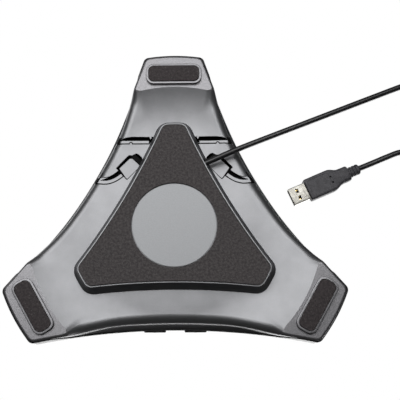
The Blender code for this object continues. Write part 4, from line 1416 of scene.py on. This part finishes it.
def build_plug_shell(place):
    width, height, length = SHELL_SIZE
    shell = swept(((-length - 0.3, width, height, 0.5), (-0.3, width, height, 0.5)), place)
    shell = mesh_object("plug_sleeve", shell)
    inner = (width - 0.7, height - 0.7, 0.35)
    boolean(shell, "DIFFERENCE", swept(((-length - 1.3, *inner), (-1.3, *inner)), place))
    front = -length - 0.3
    for face in (-1, 1):
        for offset in (-2.5, 2.5):
            hole = block(place, front + 5.4, offset, face * height / 2, (1.9, 2.8, 1.2), 0.15)
            boolean(shell, "DIFFERENCE", hole)
    boolean(shell, "DIFFERENCE", block(place, front + 9.6, 0.0, -height / 2, (1.2, 1.5, 0.3), 0.4))
    seam = block(place, -length / 2 - 0.3, 0.0, height / 2, (length + 1, 0.12, 0.5), 0.02)
    boolean(shell, "DIFFERENCE", seam)
    finish_piece(shell, "steel", replaced=("plug_shell",))
    tongue = (width - 1.4, 1.7, 0.2)
    raised = place @ Matrix.Translation((0, 0, 0.85))
    insert = mesh_object("plug_tongue", swept(((-length + 0.2, *tongue), (-1.6, *tongue)), raised))
    finish_piece(insert, "paper", replaced=("plug_insert",))
    pads = []
    for i, offset in enumerate((-3.5, -1.0, 1.0, 3.5)):
        long = 7.4 if i in (0, 3) else 6.4
        pads.append(block(place, -length + 1.2 + long / 2, offset, -0.06, (long, 1.0, 0.16), 0.1))
    contacts = mesh_object("plug_contacts", merged(pads))
    finish_piece(contacts, "contacts")
    return [shell, insert, contacts]


def build_plug():
    front = Vector((*PLUG_FRONT, PLUG_HEIGHT))
    tail = Vector(ROUTE_BACK[-1])
    place = along(front, tail)
    relief_end = (tail - front).length - 0.3
    return [build_plug_body(place, relief_end), *build_plug_shell(place)]


COIL_INNER = 16.0
COIL_OUTER = 33.6
COIL_HEIGHTS = (0.9, 17.3)
TIE_HALF_WIDTH = 3.5


def build_tie():
    """A hook-and-loop strap round one side of the coil, as a closed band with a lapped end."""
    low, high = COIL_HEIGHTS
    gap = 0.3
    wall = 0.6
    reach = (COIL_INNER - 0.8, COIL_OUTER + gap)
    length = reach[1] - reach[0]
    height = high - low + 2 * gap
    middle_x = COIL_CENTRE[0] - (reach[0] + reach[1]) / 2
    middle_z = (low + high) / 2
    rings = []
    edge = 0.15
    profile = (
        (wall, -TIE_HALF_WIDTH + edge), (wall, TIE_HALF_WIDTH - edge), (wall - edge, TIE_HALF_WIDTH),
        (edge, TIE_HALF_WIDTH), (0.0, TIE_HALF_WIDTH - edge), (0.0, -TIE_HALF_WIDTH + edge),
        (edge, -TIE_HALF_WIDTH), (wall - edge, -TIE_HALF_WIDTH),
    )
    for grow, y in profile:
        outline = rounded_rectangle(length + 2 * grow, height + 2 * grow, 1.2 + grow, 6)
        rings.append([(middle_x + px, COIL_CENTRE[1] + y, middle_z + pz) for px, pz in outline])
    tie = mesh_object("coil_strap", loft(rings, closed=True))
    lap = rounded_rectangle(length * 0.42, 2 * TIE_HALF_WIDTH - 0.5, 1.2, 6)
    low_z = middle_z + height / 2 + wall - 0.2
    patch = loft([
        [(middle_x + px + 1.5, COIL_CENTRE[1] + py, z) for px, py in lap] for z in (low_z, low_z + 0.2)
    ])
    boolean(tie, "UNION", patch)
    finish_piece(tie, "strap", replaced=("cord_tie",))
    return tie


def build_gland():
    sections = [(0.0, 4.4, 4.4, 2.0), (0.5, 4.9, 4.9, 2.2), (1.2, 5.0, 5.0, 2.2)]
    for i in range(3):
        start = 1.5 + 1.1 * i
        size = 5.4 + 0.6 * i
        sections += [(start, size, size - 0.2, 2.4), (start + 0.6, size + 0.2, size, 2.4)]
        sections.append((start + 0.8, size - 0.5, size - 0.6, 2.2))
    sections += [(4.9, 7.4, 6.0, 2.6), (9.0, 7.4, 6.0, 2.6)]
    exit_point = Vector(CORD_EXIT)
    inward = (exit_point - Vector(ROUTE_OUT[1])).normalized()
    start = exit_point + inward * 0.3
    gland = mesh_object("cord_boot", swept(sections, along(start, start + inward)), sharp=24.0)
    finish_piece(gland, "rubber", replaced=("cord_gland",))
    return gland


on_cord = [*build_plug(), build_tie(), build_gland()]
cord.data.materials.append(MATERIALS["cord_black"])

# ---------------------------------------------------------------- inner pieces kept from the frame

KEPT = {
    "steel": ("mic_capsule", "casing_screw", "cover_screw", "speaker_magnet", "main_shield"),
    "paper": ("speaker_frame", "speaker_cone"),
    "rubber": ("mic_boot", "speaker_gasket"),
    "socket_black": ("socket",),
    "board_green": ("main_board", "key_board"),
}


def finish_kept_nodes():
    for name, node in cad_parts.items():
        for material, starts in KEPT.items():
            if name.startswith(starts):
                node.data.materials.clear()
                node.data.materials.append(MATERIALS[material])


finish_kept_nodes()

# ---------------------------------------------------------------- stage and light

LIGHT_TILT = 22.5
LIGHT_SIDE = 0.11
LIGHT_DISTANCE = 0.75
SOFTBOX_WATTS = 4.35
STRIP_OFFSET = 0.37
STRIP_WATTS = 0.7
KEY_WATTS = 10.0
FILL_WATTS = 3.0
CEILING_STRENGTH = 2.3
CEILING_ANGLE = 60.0
ROOM_STRENGTH = 0.045


def build_stage():
    bm = bmesh.new()
    bmesh.ops.create_grid(bm, x_segments=1, y_segments=1, size=20.0)
    mesh = bpy.data.meshes.new("floor")
    bm.to_mesh(mesh)
    bm.free()
    floor = bpy.data.objects.new("floor", mesh)
    bpy.context.scene.collection.objects.link(floor)
    made, tree, shader = nodes_of("floor")
    shader.inputs["Roughness"].default_value = 0.9
    tone = mix_colours(tree, noise(tree, 3.0), (0.70, 0.70, 0.70), (0.74, 0.74, 0.745))
    tree.links.new(tone, shader.inputs["Base Color"])
    facing = tree.nodes.new("ShaderNodeNewGeometry")
    clear = tree.nodes.new("ShaderNodeBsdfTransparent")
    chosen = tree.nodes.new("ShaderNodeMixShader")
    tree.links.new(facing.outputs["Backfacing"], chosen.inputs[0])
    tree.links.new(shader.outputs[0], chosen.inputs[1])
    tree.links.new(clear.outputs[0], chosen.inputs[2])
    tree.links.new(chosen.outputs[0], tree.nodes["Material Output"].inputs["Surface"])
    mesh.materials.append(made)
    floor.visible_shadow = False
    floor.visible_diffuse = False
    floor.visible_glossy = False
    floor.visible_transmission = False


def area_light(name, place, aim, size, watts):
    data = bpy.data.lights.new(name, "AREA")
    data.shape = "RECTANGLE"
    data.size, data.size_y = size
    data.energy = watts
    light = bpy.data.objects.new(name, data)
    bpy.context.scene.collection.objects.link(light)
    start = Vector(place)
    turn = (Vector(aim) - start).to_track_quat("-Z", "Y").to_matrix().to_4x4()
    light.matrix_world = Matrix.Translation(start) @ turn


def ceiling_light():
    data = bpy.data.lights.new("ceiling", "SUN")
    data.energy = CEILING_STRENGTH
    data.angle = math.radians(CEILING_ANGLE)
    bpy.context.scene.collection.objects.link(bpy.data.objects.new("ceiling", data))


def build_lights():
    """Light from below for the underside, light from above for the top, and a bright room behind."""
    world = bpy.data.worlds.new("studio")
    bpy.context.scene.world = world
    world.use_nodes = True
    tree = world.node_tree
    background = tree.nodes["Background"]
    rays = tree.nodes.new("ShaderNodeLightPath")
    shade = range_of(tree, rays.outputs["Is Camera Ray"], 0, 1, ROOM_STRENGTH, 1.0)
    tree.links.new(shade, background.inputs["Strength"])
    background.inputs["Color"].default_value = (1, 1, 1, 1)
    middle = (0, AXIS_Y * MM, 0.01)
    tilt = math.radians(LIGHT_TILT)
    away = LIGHT_DISTANCE * math.sin(tilt)
    down = LIGHT_DISTANCE * math.cos(tilt)
    below = (LIGHT_SIDE, AXIS_Y * MM + away, -down)
    area_light("softbox_below", below, middle, (0.70, 0.64), SOFTBOX_WATTS)
    for side, name in ((-1, "strip_left"), (1, "strip_right")):
        area_light(name, (LIGHT_SIDE + side * STRIP_OFFSET, *below[1:]), middle, (0.09, 0.5), STRIP_WATTS)
    area_light("key_above", (-0.7, -0.7, 0.9), middle, (0.8, 0.8), KEY_WATTS)
    area_light("fill_above", (0.9, 0.5, 0.8), middle, (0.9, 0.9), FILL_WATTS)
    ceiling_light()
    scene = bpy.context.scene
    scene.view_settings.view_transform = "Standard"
    scene.view_settings.look = "None"


build_stage()
build_lights()
